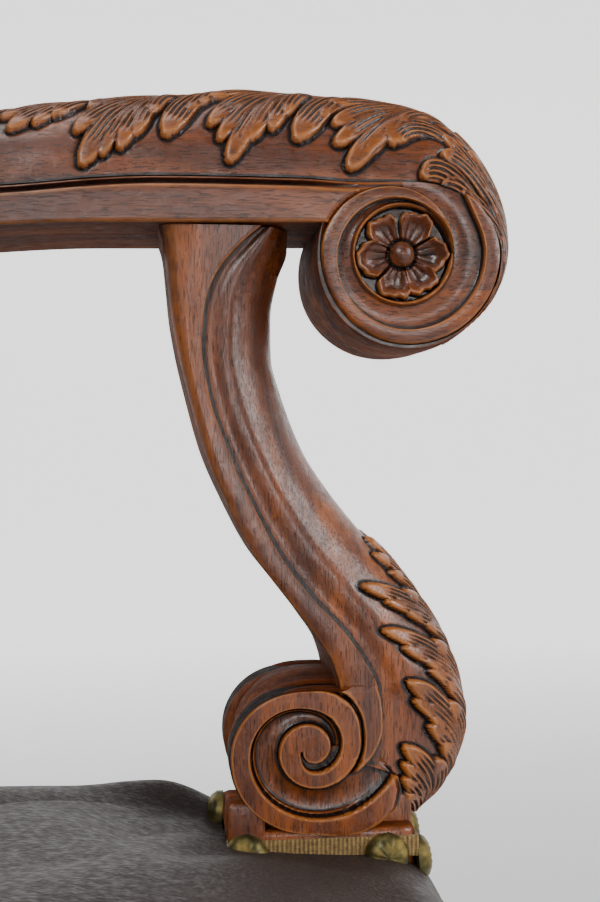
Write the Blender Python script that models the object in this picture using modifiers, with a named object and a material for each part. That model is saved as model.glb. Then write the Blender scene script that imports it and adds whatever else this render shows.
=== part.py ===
"""Carved open armchair: scrolled arms on S-scroll supports, over-upholstered leather seat and back,
S-scroll front legs with turned feet, raked rear posts and an H stretcher.

Metres, +Z up. The chair faces -Y, and the origin is on the floor under the middle of its overall box.
Side outlines are given as (forward, up) pairs from a datum point on the arm's height line, so that the arm,
its support and the front leg below it share one set of places.
"""

import math

import bmesh
import bpy
from mathutils import Matrix, Vector

# ---------------------------------------------------------------- driving dimensions (metres)
ARM_SPACING = 0.566          # centre to centre of the two arms, and of the posts and legs
ARM_WIDTH = 0.064            # across the carved arm
ARM_TOP_HEIGHT = 0.700       # crest of the arm above the floor
BACK_HEIGHT = 1.140          # top of the rear posts
CREST_UP = 0.132             # crest of the arm above the outline datum
DATUM_UP = ARM_TOP_HEIGHT - CREST_UP
DATUM_Y = -0.1933            # world Y of the outline datum
GAP = 0.0003                 # clearance between touching solids

SUPPORT_WIDTH = 0.060        # S-scroll support and leg, across
SUPPORT_FOOT_UP = -0.160     # underside of the support's base block, from the datum
SUPPORT_TOP_UP = 0.0776      # top of the support, just under the arm
BLOCK_REAR = 0.0255          # base block, forward of the datum
BLOCK_FRONT = 0.0955
BLOCK_TOP_UP = -0.135
SEAT_FRAME_PROUD = 0.008     # the seat frame stands this far outside the support's block

RAIL_HEIGHT = 0.065
RAIL_THICK = 0.030
RAIL_TOP = DATUM_UP + SUPPORT_FOOT_UP - GAP

POST_WIDTH = 0.046
POST_DEPTH = 0.046
WAIST_ABOVE_RAILS = 0.0123   # the post runs upright at this height over the seat rails
POST_WAIST_Y = 0.2127
POST_TOP_RAKE = 0.173        # Y grows by this times the height above the waist squared
POST_FOOT_RAKE = 0.330

LEG_BLOCK_HEIGHT = 0.060     # lower block of the front leg, which takes the stretcher
FOOT_HEIGHT = 0.0450         # underside of the leg above the floor
FOOT_RADIUS = 0.030
FOOT_NECK_RADIUS = 0.019
BUN_MIDDLE = 0.45            # height of the bun's widest ring, as a share of the foot's height
BUN_HALF = 0.42
FOOT_PIN_RADIUS = 0.009
FOOT_PIN_LENGTH = 0.022

STRETCHER_HEIGHT = 0.032
STRETCHER_THICK = 0.026
STRETCHER_UP = 0.078         # centre line above the floor
CROSS_STRETCHER_FORWARD = 0.10

BACK_RAIL_THICK = 0.028
BACK_TOP_RAIL_HEIGHT = 0.070
BACK_LOW_RAIL_HEIGHT = 0.055
BACK_RAIL_ABOVE_SEAT = 0.107  # underside of the lower back rail over the seat rails

TENON_THICK = 0.012
TENON_LENGTH = 0.022
TENON_ROOT = 0.004           # how far a tenon's box runs back into its own piece

WEB_WIDTH = 0.050
WEB_THICK = 0.0016
WEB_WAVE = 0.0014            # half the over-and-under travel of woven webbing
HESSIAN_THICK = 0.0012
LEATHER_THICK = 0.0018

SEAT_CROWN = 0.026           # rise of the seat's middle over its edge
SEAT_EDGE_RISE = 0.028       # height of the padded edge over the rails
BLOCK_DIP = 0.017            # how far the padding is drawn down beside each support's block
BLOCK_DIP_REACH = 0.035
SEAT_SKIRT = 0.005           # leather below the rails
BACK_PAD_EDGE = 0.014
BACK_PAD_CROWN = 0.026
BACK_PAD_OVERHANG = 0.007    # the back's padding below its lower rail
BACK_WEB_ROOM = 0.0055       # behind the back's stuffing, for two layers of webbing
BACK_WEB_HEIGHTS = (0.74, 0.92)
BACK_WEB_X = 0.10

NAIL_RADIUS = 0.0085
NAIL_RISE = 0.0050
NAIL_SINK = 0.25             # depth of the head's underside below its widest ring, as a share of its rise
NAIL_LIFT = 0.08             # height of its widest ring over the strip, likewise
NAIL_PITCH = 0.034
BAND_HEIGHT = 0.012          # braid strip under the nails
BAND_THICK = 0.0016

SCREW_RADIUS = 0.0025
SCREW_HEAD_RADIUS = 0.0045
SCREW_HEAD_HEIGHT = 0.0025   # proud of the block
SCREW_HEAD_SINK = 0.0005
SCREW_TIP_COVER = 0.008      # wood left beyond the screw's tip
CORNER_REACH = 0.050
CORNER_HEIGHT = 0.040
CORNER_SINK = 0.005          # the corner blocks' middle is half this below the rails' middle

# ---------------------------------------------------------------- derived places
ARM_X = ARM_SPACING / 2
FRAME_X = ARM_X + SUPPORT_WIDTH / 2 + SEAT_FRAME_PROUD
FRAME_FRONT_Y = DATUM_Y - BLOCK_FRONT - SEAT_FRAME_PROUD
RAIL_BOTTOM = RAIL_TOP - RAIL_HEIGHT
POST_WAIST_Z = RAIL_TOP + WAIST_ABOVE_RAILS
BACK_LOW_RAIL_Z = RAIL_TOP + BACK_RAIL_ABOVE_SEAT
BACK_PAD_LOW_Z = BACK_LOW_RAIL_Z - BACK_PAD_OVERHANG
LEG_BLOCK_REAR_Y = DATUM_Y - BLOCK_REAR
LEG_S_TOP = RAIL_BOTTOM
LEG_BASE = FOOT_HEIGHT
LEG_S_BOTTOM = LEG_BASE + LEG_BLOCK_HEIGHT
LEG_S_STRETCH = (LEG_S_TOP - LEG_S_BOTTOM) / (SUPPORT_TOP_UP - SUPPORT_FOOT_UP)

# ---------------------------------------------------------------- side outlines (forward, up) in metres
ARM_CREST = [(-0.383, 0.124), (-0.335, 0.108), (-0.280, 0.0985), (-0.215, 0.0985), (-0.140, 0.108),
             (-0.058, 0.1232), (-0.021, 0.1285), (0.010, 0.1312), (0.040, 0.1320), (0.068, 0.1308)]
ARM_UNDER = [(-0.383, 0.080), (-0.335, 0.0665), (-0.280, 0.0585), (-0.215, 0.0575), (-0.140, 0.066),
             (-0.055, 0.0757), (0.000, 0.0780), (0.055, 0.0785)]
SCROLL_CENTRE = (0.0896, 0.0690)
# radius of the scroll's outside, by degrees clockwise from straight up
SCROLL_RADII = [(0, 0.0590), (35, 0.0548), (60, 0.0500), (90, 0.0446), (125, 0.0385), (180, 0.0347),
                (225, 0.0328), (270, 0.0317), (288, 0.0316)]
SUPPORT_REAR = [(0.0005, SUPPORT_TOP_UP), (0.0021, 0.0700), (0.0043, 0.0500), (0.0078, 0.0308),
                (0.0128, 0.0072), (0.0202, -0.0126), (0.0282, -0.0291), (0.0358, -0.0432),
                (0.0465, -0.0571), (0.0544, -0.0673), (0.0623, -0.0794), (0.0665, -0.0895)]
VOLUTE_BACK = [(0.0600, -0.0918), (0.0500, -0.0928), (0.0400, -0.0968), (0.0315, -0.1050),
               (0.0270, -0.1165), (0.0266, -0.1260), (0.0285, BLOCK_TOP_UP)]
SUPPORT_FRONT = [(BLOCK_FRONT, -0.1430), (0.1040, -0.1400), (0.1120, -0.1300), (0.1165, -0.1200),
                 (0.1183, -0.1080), (0.1165, -0.0955), (0.1122, -0.0817), (0.1070, -0.0708),
                 (0.1002, -0.0606), (0.0916, -0.0495), (0.0817, -0.0383), (0.0755, -0.0326),
                 (0.0660, -0.0204), (0.0565, -0.0050), (0.0502, 0.0077), (0.0465, 0.0195),
                 (0.0438, 0.0303), (0.0431, 0.0410), (0.0436, 0.0517), (0.0465, 0.0625),
                 (0.0492, 0.0706), (0.0495, SUPPORT_TOP_UP)]

SIDES = {"left": 1, "right": -1}


# ---------------------------------------------------------------- scene and materials
def clear_scene():
    for obj in list(bpy.data.objects):
        bpy.data.objects.remove(obj)


def collection(name):
    made = bpy.data.collections.new(name)
    bpy.context.scene.collection.children.link(made)
    return made


def material(name, colour, roughness, metallic=0.0):
    made = bpy.data.materials.new(name)
    made.use_nodes = True
    shader = made.node_tree.nodes["Principled BSDF"]
    shader.inputs["Base Color"].default_value = (*colour, 1.0)
    shader.inputs["Roughness"].default_value = roughness
    shader.inputs["Metallic"].default_value = metallic
    return made


clear_scene()
PARTS = collection("carved_armchair")
HELPERS = collection("cutters")
HELPERS.hide_render = True
WALNUT = material("walnut", (0.21, 0.085, 0.035), 0.38)
BEECH = material("beech", (0.48, 0.33, 0.19), 0.6)
LEATHER = material("brown_leather", (0.045, 0.032, 0.026), 0.55)
JUTE = material("jute", (0.42, 0.31, 0.18), 0.9)
HORSEHAIR = material("horsehair", (0.12, 0.09, 0.07), 0.95)
BRAID = material("braid", (0.36, 0.25, 0.08), 0.85)
STEEL = material("steel", (0.35, 0.34, 0.33), 0.4, 1.0)


# ---------------------------------------------------------------- shape helpers
def world(forward, up):
    """World (Y, Z) of an outline point."""
    return DATUM_Y - forward, DATUM_UP + up


def smooth_line(points, steps):
    """Catmull-Rom curve through the points, with this many steps between neighbours."""
    ends = [points[0], *points, points[-1]]
    line = []
    for p0, p1, p2, p3 in zip(ends, ends[1:], ends[2:], ends[3:]):
        for k in range(steps):
            t = k / steps
            line.append(tuple(
                0.5 * (2 * b + (c - a) * t + (2 * a - 5 * b + 4 * c - d) * t * t
                       + (3 * b - a - 3 * c + d) * t ** 3)
                for a, b, c, d in zip(p0, p1, p2, p3)))
    return [*line, points[-1]]


def link(name, mesh, look):
    obj = bpy.data.objects.new(name, mesh)
    obj.data.materials.append(look)
    PARTS.objects.link(obj)
    return obj


def as_helper(obj):
    for home in list(obj.users_collection):
        home.objects.unlink(obj)
    HELPERS.objects.link(obj)
    obj.hide_render = True
    obj.display_type = "WIRE"
    return obj


def box_mesh(low, high):
    low, high = Vector(low), Vector(high)
    size = high - low
    work = bmesh.new()
    bmesh.ops.create_cube(work, size=1.0, matrix=Matrix.Translation((low + high) / 2)
                          @ Matrix.Diagonal((*size, 1.0)))
    mesh = bpy.data.meshes.new("box")
    work.to_mesh(mesh)
    work.free()
    return mesh


def box(name, low, high, look):
    return link(name, box_mesh(low, high), look)


def helper_box(name, low, high):
    return as_helper(link(name, box_mesh(low, high), BEECH))


def boolean(obj, other, operation):
    step = obj.modifiers.new(operation.lower(), "BOOLEAN")
    step.operation = operation
    step.object = other
    step.solver = "EXACT"


def outline_solid(name, outline, half_thickness, place):
    """A flat outline, thickened both ways and moved by the matrix place. Returns its bmesh, to finish."""
    curve = bpy.data.curves.new(name, "CURVE")
    curve.dimensions = "2D"
    curve.fill_mode = "BOTH"
    curve.extrude = half_thickness
    spline = curve.splines.new("POLY")
    spline.points.add(len(outline) - 1)
    for point, (first, second) in zip(spline.points, outline):
        point.co = (first, second, 0.0, 1.0)
    spline.use_cyclic_u = True
    drawn = bpy.data.objects.new(name + "_outline", curve)
    PARTS.objects.link(drawn)
    mesh = bpy.data.meshes.new_from_object(drawn.evaluated_get(bpy.context.evaluated_depsgraph_get()))
    bpy.data.objects.remove(drawn)
    work = bmesh.new()
    work.from_mesh(mesh)
    bpy.data.meshes.remove(mesh)
    bmesh.ops.remove_doubles(work, verts=work.verts, dist=1e-5)
    bmesh.ops.transform(work, matrix=place, verts=work.verts)
    return work


def finished(name, work, look):
    """Links a worked mesh as a named piece, its faces outwards and its round edges smooth."""
    bmesh.ops.recalc_face_normals(work, faces=work.faces)
    mesh = bpy.data.meshes.new(name)
    work.to_mesh(mesh)
    work.free()
    mesh.shade_smooth()
    mesh.set_sharp_from_angle(angle=math.radians(35))
    return link(name, mesh, look)


def prism(name, outline, half_width, centre_x, look, round_edges=(), round_size=0.0):
    """A side outline of (Y, Z) points, extruded across the chair, with some outline edges rounded."""
    # the outline lies in X-Y: turn its X to world Y, its Y to world Z and its Z to world X
    turn = Matrix(((0, 0, 1, centre_x), (1, 0, 0, 0), (0, 1, 0, 0), (0, 0, 0, 1)))
    work = outline_solid(name, outline, half_width, turn)
    if round_edges:
        wanted = {(round(y, 5), round(z, 5)) for y, z in round_edges}
        edges = [e for e in work.edges
                 if abs(e.verts[0].co.x - e.verts[1].co.x) < 1e-6
                 and all((round(v.co.y, 5), round(v.co.z, 5)) in wanted for v in e.verts)
                 and len({f for f in e.link_faces if abs(f.normal.x) < 0.5}) == 1]
        bmesh.ops.bevel(work, geom=edges, offset=round_size, segments=3, profile=0.5,
                        affect="EDGES", clamp_overlap=True)
    return finished(name, work, look)


def soft_block(name, cuts, warp, look):
    """A cube cut into a grid, each of whose points (-1 to 1 each way) is placed by warp."""
    work = bmesh.new()
    bmesh.ops.create_cube(work, size=2.0)
    for axis, count in enumerate(cuts):
        along = [e for e in work.edges
                 if abs((e.verts[0].co - e.verts[1].co)[axis]) > 1e-6
                 and sum(abs(c) > 1e-6 for c in (e.verts[0].co - e.verts[1].co)) == 1]
        if count:
            bmesh.ops.subdivide_edges(work, edges=along, cuts=count, use_grid_fill=True)
    for vert in work.verts:
        vert.co = Vector(warp(*vert.co))
    bmesh.ops.triangulate(work, faces=work.faces)
    return finished(name, work, look)


def turned(name, profile, centre, look, steps=20):
    """A turned piece from (radius, height) points, listed from its top down its outside."""
    work = bmesh.new()
    verts = [work.verts.new((radius, 0.0, height)) for radius, height in profile]
    for a, b in zip(verts, verts[1:]):
        work.edges.new((a, b))
    mesh = bpy.data.meshes.new(name)
    work.to_mesh(mesh)
    work.free()
    obj = link(name, mesh, look)
    obj.location = centre
    lathe = obj.modifiers.new("lathe", "SCREW")
    lathe.steps = steps
    lathe.render_steps = steps
    lathe.use_merge_vertices = True
    lathe.merge_threshold = 0.00005
    return obj


def joint(piece, receiver, low, high, root_axis, root_sign):
    """A tenon on piece in a mortise of receiver. root_sign says which way along root_axis the piece lies."""
    tenon_low, tenon_high = Vector(low), Vector(high)
    slot_low = tenon_low - Vector((GAP,) * 3)
    slot_high = tenon_high + Vector((GAP,) * 3)
    if root_sign > 0:
        tenon_high[root_axis] += TENON_ROOT
        slot_high[root_axis] += TENON_ROOT
    else:
        tenon_low[root_axis] -= TENON_ROOT
        slot_low[root_axis] -= TENON_ROOT
    boolean(piece, helper_box(f"{piece.name}_tenon", tenon_low, tenon_high), "UNION")
    boolean(receiver, helper_box(f"{receiver.name}_mortise", slot_low, slot_high), "DIFFERENCE")


def rod(name, start, end, radius, look, sides=12):
    """A round rod between two points."""
    start, end = Vector(start), Vector(end)
    axis = end - start
    work = bmesh.new()
    place = Matrix.Translation((start + end) / 2) @ axis.to_track_quat("Z", "Y").to_matrix().to_4x4()
    bmesh.ops.create_cone(work, cap_ends=True, segments=sides, radius1=radius, radius2=radius,
                          depth=axis.length, matrix=place)
    mesh = bpy.data.meshes.new(name)
    work.to_mesh(mesh)
    work.free()
    return link(name, mesh, look)


# ---------------------------------------------------------------- outlines
def scroll_line():
    """The outside of the arm's scroll, clockwise from its top, as a spiral about its centre."""
    line = []
    for degrees, radius in smooth_line(SCROLL_RADII, 2):
        turn = math.radians(degrees)
        line.append((SCROLL_CENTRE[0] + radius * math.sin(turn), SCROLL_CENTRE[1] + radius * math.cos(turn)))
    return line


def arm_outline():
    crest = smooth_line(ARM_CREST, 2)
    return crest, scroll_line(), smooth_line(ARM_UNDER, 2)[::-1]


def support_outline():
    """Down the rear of the S, round the volute, along the block's foot and up the rounded front."""
    rear = smooth_line(SUPPORT_REAR, 2)
    volute = smooth_line(VOLUTE_BACK, 2)
    block = [(BLOCK_REAR, BLOCK_TOP_UP), (BLOCK_REAR, SUPPORT_FOOT_UP), (BLOCK_FRONT, SUPPORT_FOOT_UP)]
    return rear, volute, block, smooth_line(SUPPORT_FRONT, 2)


def post_station_y(z):
    rake = POST_TOP_RAKE if z > POST_WAIST_Z else POST_FOOT_RAKE
    return POST_WAIST_Y + rake * (z - POST_WAIST_Z) ** 2


# the post is straight between these heights, so all that lies on it follows the same facets
POST_STATIONS = [*[POST_WAIST_Z * k / 7 for k in range(8)],
                 *[POST_WAIST_Z + (BACK_HEIGHT - POST_WAIST_Z) * k / 8 for k in range(1, 9)]]


def post_centre_y(z):
    for low, high in zip(POST_STATIONS, POST_STATIONS[1:]):
        if z <= high or high == POST_STATIONS[-1]:
            share = (z - low) / (high - low)
            return post_station_y(low) * (1 - share) + post_station_y(high) * share


def stations_between(low, high):
    """The post's own stations between two heights, with the two heights as ends."""
    return [low, *[z for z in POST_STATIONS if low + GAP < z < high - GAP], high]


def post_front_y(z):
    return post_centre_y(z) - POST_DEPTH / 2


# ---------------------------------------------------------------- wooden frame
def make_arm(side, sign):
    crest, scroll, under = arm_outline()
    line = [world(*p) for p in [*crest, *scroll, *under]]
    line[0] = (post_front_y(line[0][1]) - GAP, line[0][1])
    line[-1] = (post_front_y(line[-1][1]) - GAP, line[-1][1])
    rounded = line[: len(crest) + len(scroll) // 2]
    return prism(f"arm_{side}", line, ARM_WIDTH / 2, sign * ARM_X, WALNUT, rounded, 0.017)


def make_support(side, sign):
    rear, volute, block, front = support_outline()
    line = [world(*p) for p in [*rear, *volute, *block, *front]]
    rounded = [world(*p) for p in front[3:-4]]
    return prism(f"arm_support_{side}", line, SUPPORT_WIDTH / 2, sign * ARM_X, WALNUT, rounded, 0.012)


def flipped(forward, up):
    """World (Y, Z) of a support outline point, turned upside down and fitted below the seat frame."""
    return DATUM_Y - forward, LEG_S_TOP - (up - SUPPORT_FOOT_UP) * LEG_S_STRETCH


def make_front_leg(side, sign):
    rear, volute, block, front = support_outline()
    rear_foot = flipped(*rear[0])
    front_foot = flipped(*front[-1])
    top = [(LEG_BLOCK_REAR_Y, RAIL_TOP), (FRAME_FRONT_Y, RAIL_TOP), (FRAME_FRONT_Y, RAIL_BOTTOM)]
    line = [*top, *[flipped(*p) for p in [block[2], *front]],
            (front_foot[0], LEG_BASE), (rear_foot[0], LEG_BASE),
            *[flipped(*p) for p in [*rear, *volute, block[0]]]]
    rounded = [flipped(*p) for p in front[3:-4]]
    leg = prism(f"front_leg_{side}", line, SUPPORT_WIDTH / 2, sign * ARM_X, WALNUT, rounded, 0.012)
    outer = sorted((sign * (ARM_X + SUPPORT_WIDTH / 2 - TENON_ROOT), sign * FRAME_X))
    corner = helper_box(f"front_leg_{side}_corner", (outer[0], FRAME_FRONT_Y, RAIL_BOTTOM),
                        (outer[1], LEG_BLOCK_REAR_Y, RAIL_TOP))
    boolean(leg, corner, "UNION")
    return leg


def make_foot(side, sign, leg):
    """A turned bun foot on a pin that stands in the leg's lower block."""
    foot_y = DATUM_Y - (SUPPORT_REAR[0][0] + SUPPORT_FRONT[-1][0]) / 2
    top = LEG_BASE - GAP
    bun = [(FOOT_RADIUS * math.cos(a), FOOT_HEIGHT * (BUN_MIDDLE + BUN_HALF * math.sin(a)))
           for a in [math.radians(d) for d in range(60, -76, -15)]]
    profile = [(0.0, top + FOOT_PIN_LENGTH), (FOOT_PIN_RADIUS, top + FOOT_PIN_LENGTH), (FOOT_PIN_RADIUS, top),
               (FOOT_NECK_RADIUS + 0.003, top), (FOOT_NECK_RADIUS + 0.003, top - 0.003),
               (FOOT_NECK_RADIUS, top - 0.005), *bun, (FOOT_NECK_RADIUS, 0.0), (0.0, 0.0)]
    centre = (sign * ARM_X, foot_y, 0.0)
    foot = turned(f"front_foot_{side}", profile, centre, WALNUT)
    pin_hole = as_helper(rod(f"foot_hole_{side}", (centre[0], foot_y, LEG_BASE - TENON_ROOT),
                             (centre[0], foot_y, top + FOOT_PIN_LENGTH + GAP),
                             FOOT_PIN_RADIUS + 2 * GAP, BEECH))
    boolean(leg, pin_hole, "DIFFERENCE")
    return foot


def make_rear_post(side, sign):
    front = [(post_front_y(z), z) for z in POST_STATIONS]
    rear = [(post_centre_y(z) + POST_DEPTH / 2, z) for z in POST_STATIONS]
    return prism(f"rear_post_{side}", [*front, *rear[::-1]], POST_WIDTH / 2, sign * ARM_X, WALNUT)


def make_seat_rails(legs, posts):
    rails = {}
    inner_x = FRAME_X - RAIL_THICK
    post_y = post_front_y(RAIL_TOP) - GAP
    for side, sign in SIDES.items():
        xs = sorted((sign * inner_x, sign * FRAME_X))
        rail = box(f"side_seat_rail_{side}", (xs[0], LEG_BLOCK_REAR_Y + GAP, RAIL_BOTTOM),
                   (xs[1], post_y, RAIL_TOP), BEECH)
        tenon_x = sorted((sign * (ARM_X - TENON_THICK / 2), sign * (ARM_X + TENON_THICK / 2)))
        tenon_x = [x + sign * (inner_x - ARM_X + TENON_THICK / 2 + 0.002) for x in tenon_x]
        joint(rail, legs[side], (tenon_x[0], LEG_BLOCK_REAR_Y + GAP - TENON_LENGTH, RAIL_BOTTOM + 0.010),
              (tenon_x[1], LEG_BLOCK_REAR_Y + GAP, RAIL_TOP - 0.010), 1, 1)
        joint(rail, posts[side], (tenon_x[0], post_y, RAIL_BOTTOM + 0.010),
              (tenon_x[1], post_y + TENON_LENGTH, RAIL_TOP - 0.010), 1, -1)
        rails[side] = rail
    leg_inner = ARM_X - SUPPORT_WIDTH / 2 - GAP
    front_back = FRAME_FRONT_Y + RAIL_THICK
    rails["front"] = box("front_seat_rail", (-leg_inner, FRAME_FRONT_Y, RAIL_BOTTOM),
                         (leg_inner, front_back, RAIL_TOP), BEECH)
    post_inner = ARM_X - POST_WIDTH / 2 - GAP
    rear_front = POST_WAIST_Y - RAIL_THICK / 2
    rails["rear"] = box("rear_seat_rail", (-post_inner, rear_front, RAIL_BOTTOM),
                        (post_inner, rear_front + RAIL_THICK, RAIL_TOP), BEECH)
    for side, sign in SIDES.items():
        front_y = FRAME_FRONT_Y + RAIL_THICK / 2
        for rail, receiver, root, y in ((rails["front"], legs[side], leg_inner, front_y),
                                        (rails["rear"], posts[side], post_inner, POST_WAIST_Y)):
            xs = sorted((sign * root, sign * (root + TENON_LENGTH - 0.004)))
            joint(rail, receiver, (xs[0], y - TENON_THICK / 2, RAIL_BOTTOM + 0.013),
                  (xs[1], y + TENON_THICK / 2, RAIL_TOP - 0.013), 0, -sign)
    return rails


def make_corner_blocks():
    """Glue blocks across the inside corners of the seat frame, each held by a wood screw."""
    leg_x = ARM_X - SUPPORT_WIDTH / 2 - 2 * GAP
    front_y = FRAME_FRONT_Y + RAIL_THICK + GAP
    post_x = ARM_X - POST_WIDTH / 2 - 2 * GAP
    rear_y = POST_WAIST_Y - RAIL_THICK / 2 - GAP
    rail_x = FRAME_X - RAIL_THICK - GAP
    post_y = post_front_y(RAIL_TOP) - 2 * GAP
    reach = CORNER_REACH
    outlines = {
        "front": [(leg_x, front_y), (leg_x, front_y + reach), (leg_x - reach, front_y)],
        "rear": [(post_x, rear_y), (post_x, post_y), (rail_x, post_y), (rail_x, rear_y - reach),
                 (post_x - reach, rear_y)]}
    for end, outline in outlines.items():
        for side, sign in SIDES.items():
            line = [(sign * x, y) for x, y in outline]
            level = Matrix.Translation((0.0, 0.0, (RAIL_BOTTOM + RAIL_TOP - CORNER_SINK) / 2))
            work = outline_solid("corner", line, CORNER_HEIGHT / 2, level)
            block = finished(f"corner_block_{end}_{side}", work, BEECH)
            add_screw(f"corner_screw_{end}_{side}", block, line[0], line[-2], line[-1], level.translation.z)


def add_screw(name, block, corner, first, second, z):
    """A wood screw from the middle of the block's long face, first to second, towards its corner."""
    face = Vector(((first[0] + second[0]) / 2, (first[1] + second[1]) / 2, z))
    corner = Vector((*corner, z))
    inward = (corner - face).normalized()
    out = face - inward * SCREW_HEAD_HEIGHT
    seat = face + inward * SCREW_HEAD_SINK
    tip = corner - inward * SCREW_TIP_COVER
    screw = rod(name, out, seat, SCREW_HEAD_RADIUS, STEEL)
    boolean(screw, as_helper(rod(name + "_shank", face, tip, SCREW_RADIUS, STEEL, 8)), "UNION")
    hole = as_helper(rod(name + "_hole", out, tip + inward * GAP, SCREW_RADIUS + 2 * GAP, STEEL, 8))
    sink = as_helper(rod(name + "_sink", out, seat + inward * GAP, SCREW_HEAD_RADIUS + 2 * GAP, STEEL))
    boolean(block, hole, "DIFFERENCE")
    boolean(block, sink, "DIFFERENCE")


def make_back_rails(posts):
    inner = ARM_X - POST_WIDTH / 2 - GAP
    spans = {"back_top_rail": (BACK_HEIGHT - BACK_TOP_RAIL_HEIGHT, BACK_HEIGHT),
             "back_lower_rail": (BACK_LOW_RAIL_Z, BACK_LOW_RAIL_Z + BACK_LOW_RAIL_HEIGHT)}
    for name, (low, high) in spans.items():
        heights = stations_between(low, high)
        line = [*[(post_front_y(z), z) for z in heights],
                *[(post_front_y(z) + BACK_RAIL_THICK, z) for z in heights[::-1]]]
        rail = prism(name, line, inner, 0.0, BEECH)
        middle_z = (low + high) / 2
        middle_y = post_front_y(middle_z) + BACK_RAIL_THICK / 2
        half = (high - low) / 2 - 0.012
        for side, sign in SIDES.items():
            xs = sorted((sign * inner, sign * (inner + TENON_LENGTH)))
            joint(rail, posts[side], (xs[0], middle_y - 0.005, middle_z - half),
                  (xs[1], middle_y + 0.005, middle_z + half), 0, -sign)


def make_stretchers(legs, posts):
    leg_rear_y = DATUM_Y - SUPPORT_REAR[0][0] + GAP
    post_y = post_front_y(STRETCHER_UP - STRETCHER_HEIGHT / 2) - GAP
    half_height = STRETCHER_HEIGHT / 2
    bars = {}
    for side, sign in SIDES.items():
        line = [(leg_rear_y, STRETCHER_UP - half_height),
                (post_front_y(STRETCHER_UP - half_height) - GAP, STRETCHER_UP - half_height),
                (post_front_y(STRETCHER_UP + half_height) - GAP, STRETCHER_UP + half_height),
                (leg_rear_y, STRETCHER_UP + half_height)]
        bar = prism(f"side_stretcher_{side}", line, STRETCHER_THICK / 2, sign * ARM_X, WALNUT)
        for low_y, high_y, receiver, root in (
                (leg_rear_y - TENON_LENGTH, leg_rear_y, legs[side], 1),
                (post_y, post_y + TENON_LENGTH * 0.8, posts[side], -1)):
            joint(bar, receiver, (sign * ARM_X - TENON_THICK / 2, low_y, STRETCHER_UP - 0.010),
                  (sign * ARM_X + TENON_THICK / 2, high_y, STRETCHER_UP + 0.010), 1, root)
        bars[side] = bar
    cross_y = DATUM_Y + CROSS_STRETCHER_FORWARD
    rear_y = post_centre_y(STRETCHER_UP)
    for name, y, z, ends, receivers in (
            ("cross_stretcher", cross_y, STRETCHER_UP, ARM_X - STRETCHER_THICK / 2, bars),
            ("rear_stretcher", rear_y, STRETCHER_UP + 0.070, ARM_X - POST_WIDTH / 2, posts)):
        reach = ends - GAP
        y = post_centre_y(z) if receivers is posts else y
        bar = box(name, (-reach, y - STRETCHER_THICK / 2, z - half_height),
                  (reach, y + STRETCHER_THICK / 2, z + half_height), WALNUT)
        for side, sign in SIDES.items():
            xs = sorted((sign * reach, sign * (reach + 0.016)))
            joint(bar, receivers[side], (xs[0], y - TENON_THICK / 2, z - 0.010),
                  (xs[1], y + TENON_THICK / 2, z + 0.010), 0, -sign)


def join_arms(arms, supports, legs, posts):
    """Tenons of each arm in its post, of each support in its arm, and of each support in its leg."""
    for side, sign in SIDES.items():
        x = sign * ARM_X
        half = TENON_THICK * 0.65
        y = DATUM_Y - (SUPPORT_REAR[0][0] + SUPPORT_FRONT[-1][0]) / 2
        top = DATUM_UP + SUPPORT_TOP_UP
        joint(supports[side], arms[side], (x - half, y - 0.014, top),
              (x + half, y + 0.014, top + 0.022), 2, -1)
        foot_y = DATUM_Y - (BLOCK_REAR + BLOCK_FRONT) / 2
        foot = DATUM_UP + SUPPORT_FOOT_UP
        joint(supports[side], legs[side], (x - half, foot_y - 0.011, foot - 0.016),
              (x + half, foot_y + 0.011, foot), 2, 1)
        middle = DATUM_UP + (ARM_CREST[0][1] + ARM_UNDER[0][1]) / 2
        end = post_front_y(middle - 0.010) - GAP
        joint(arms[side], posts[side], (x - half, end, middle - 0.010),
              (x + half, end + TENON_LENGTH, middle + 0.010), 1, -1)


# ---------------------------------------------------------------- upholstery
SEAT_REAR_Y = POST_WAIST_Y + RAIL_THICK / 2
SEAT_MIDDLE_Y = (FRAME_FRONT_Y + SEAT_REAR_Y) / 2
SEAT_HALF_Y = (SEAT_REAR_Y - FRAME_FRONT_Y) / 2
DECK_Z = RAIL_TOP + GAP                  # underside of the webbing over the rails
WEB_LAYER = 2 * WEB_WAVE + WEB_THICK     # full thickness of the woven layer


def eased(t):
    """Crowds grid lines towards the ends of -1 to 1."""
    return math.sin(t * math.pi / 2)


def block_dip(x, y):
    """How far the padding is drawn down at a place, round the supports' base blocks."""
    out_x = max(abs(abs(x) - ARM_X) - SUPPORT_WIDTH / 2, 0.0)
    out_y = max(abs(y - DATUM_Y + (BLOCK_REAR + BLOCK_FRONT) / 2) - (BLOCK_FRONT - BLOCK_REAR) / 2, 0.0)
    return BLOCK_DIP * math.exp(-(out_x ** 2 + out_y ** 2) / BLOCK_DIP_REACH ** 2)


def seat_top(x, y):
    """Height of the seat's top: a dome on a raised edge, less the dips round the blocks."""
    u = min(abs(x) / FRAME_X, 1.0)
    v = min(abs(y - SEAT_MIDDLE_Y) / SEAT_HALF_Y, 1.0)
    dome = (1 - u ** 2.2) * (1 - v ** 2.2)
    return DECK_Z + SEAT_EDGE_RISE + SEAT_CROWN * dome - block_dip(x, y)


def seat_warp(bottom, outset, lift):
    """Places a cube's points as a domed seat pad whose sides stand outset outside the frame."""
    def place(u, v, w):
        x = eased(u) * (FRAME_X + outset)
        y = SEAT_MIDDLE_Y + eased(v) * (SEAT_HALF_Y + outset)
        high = seat_top(x, y) + lift
        return x, y, bottom + (high - bottom) * (w + 1) / 2
    return place


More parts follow.
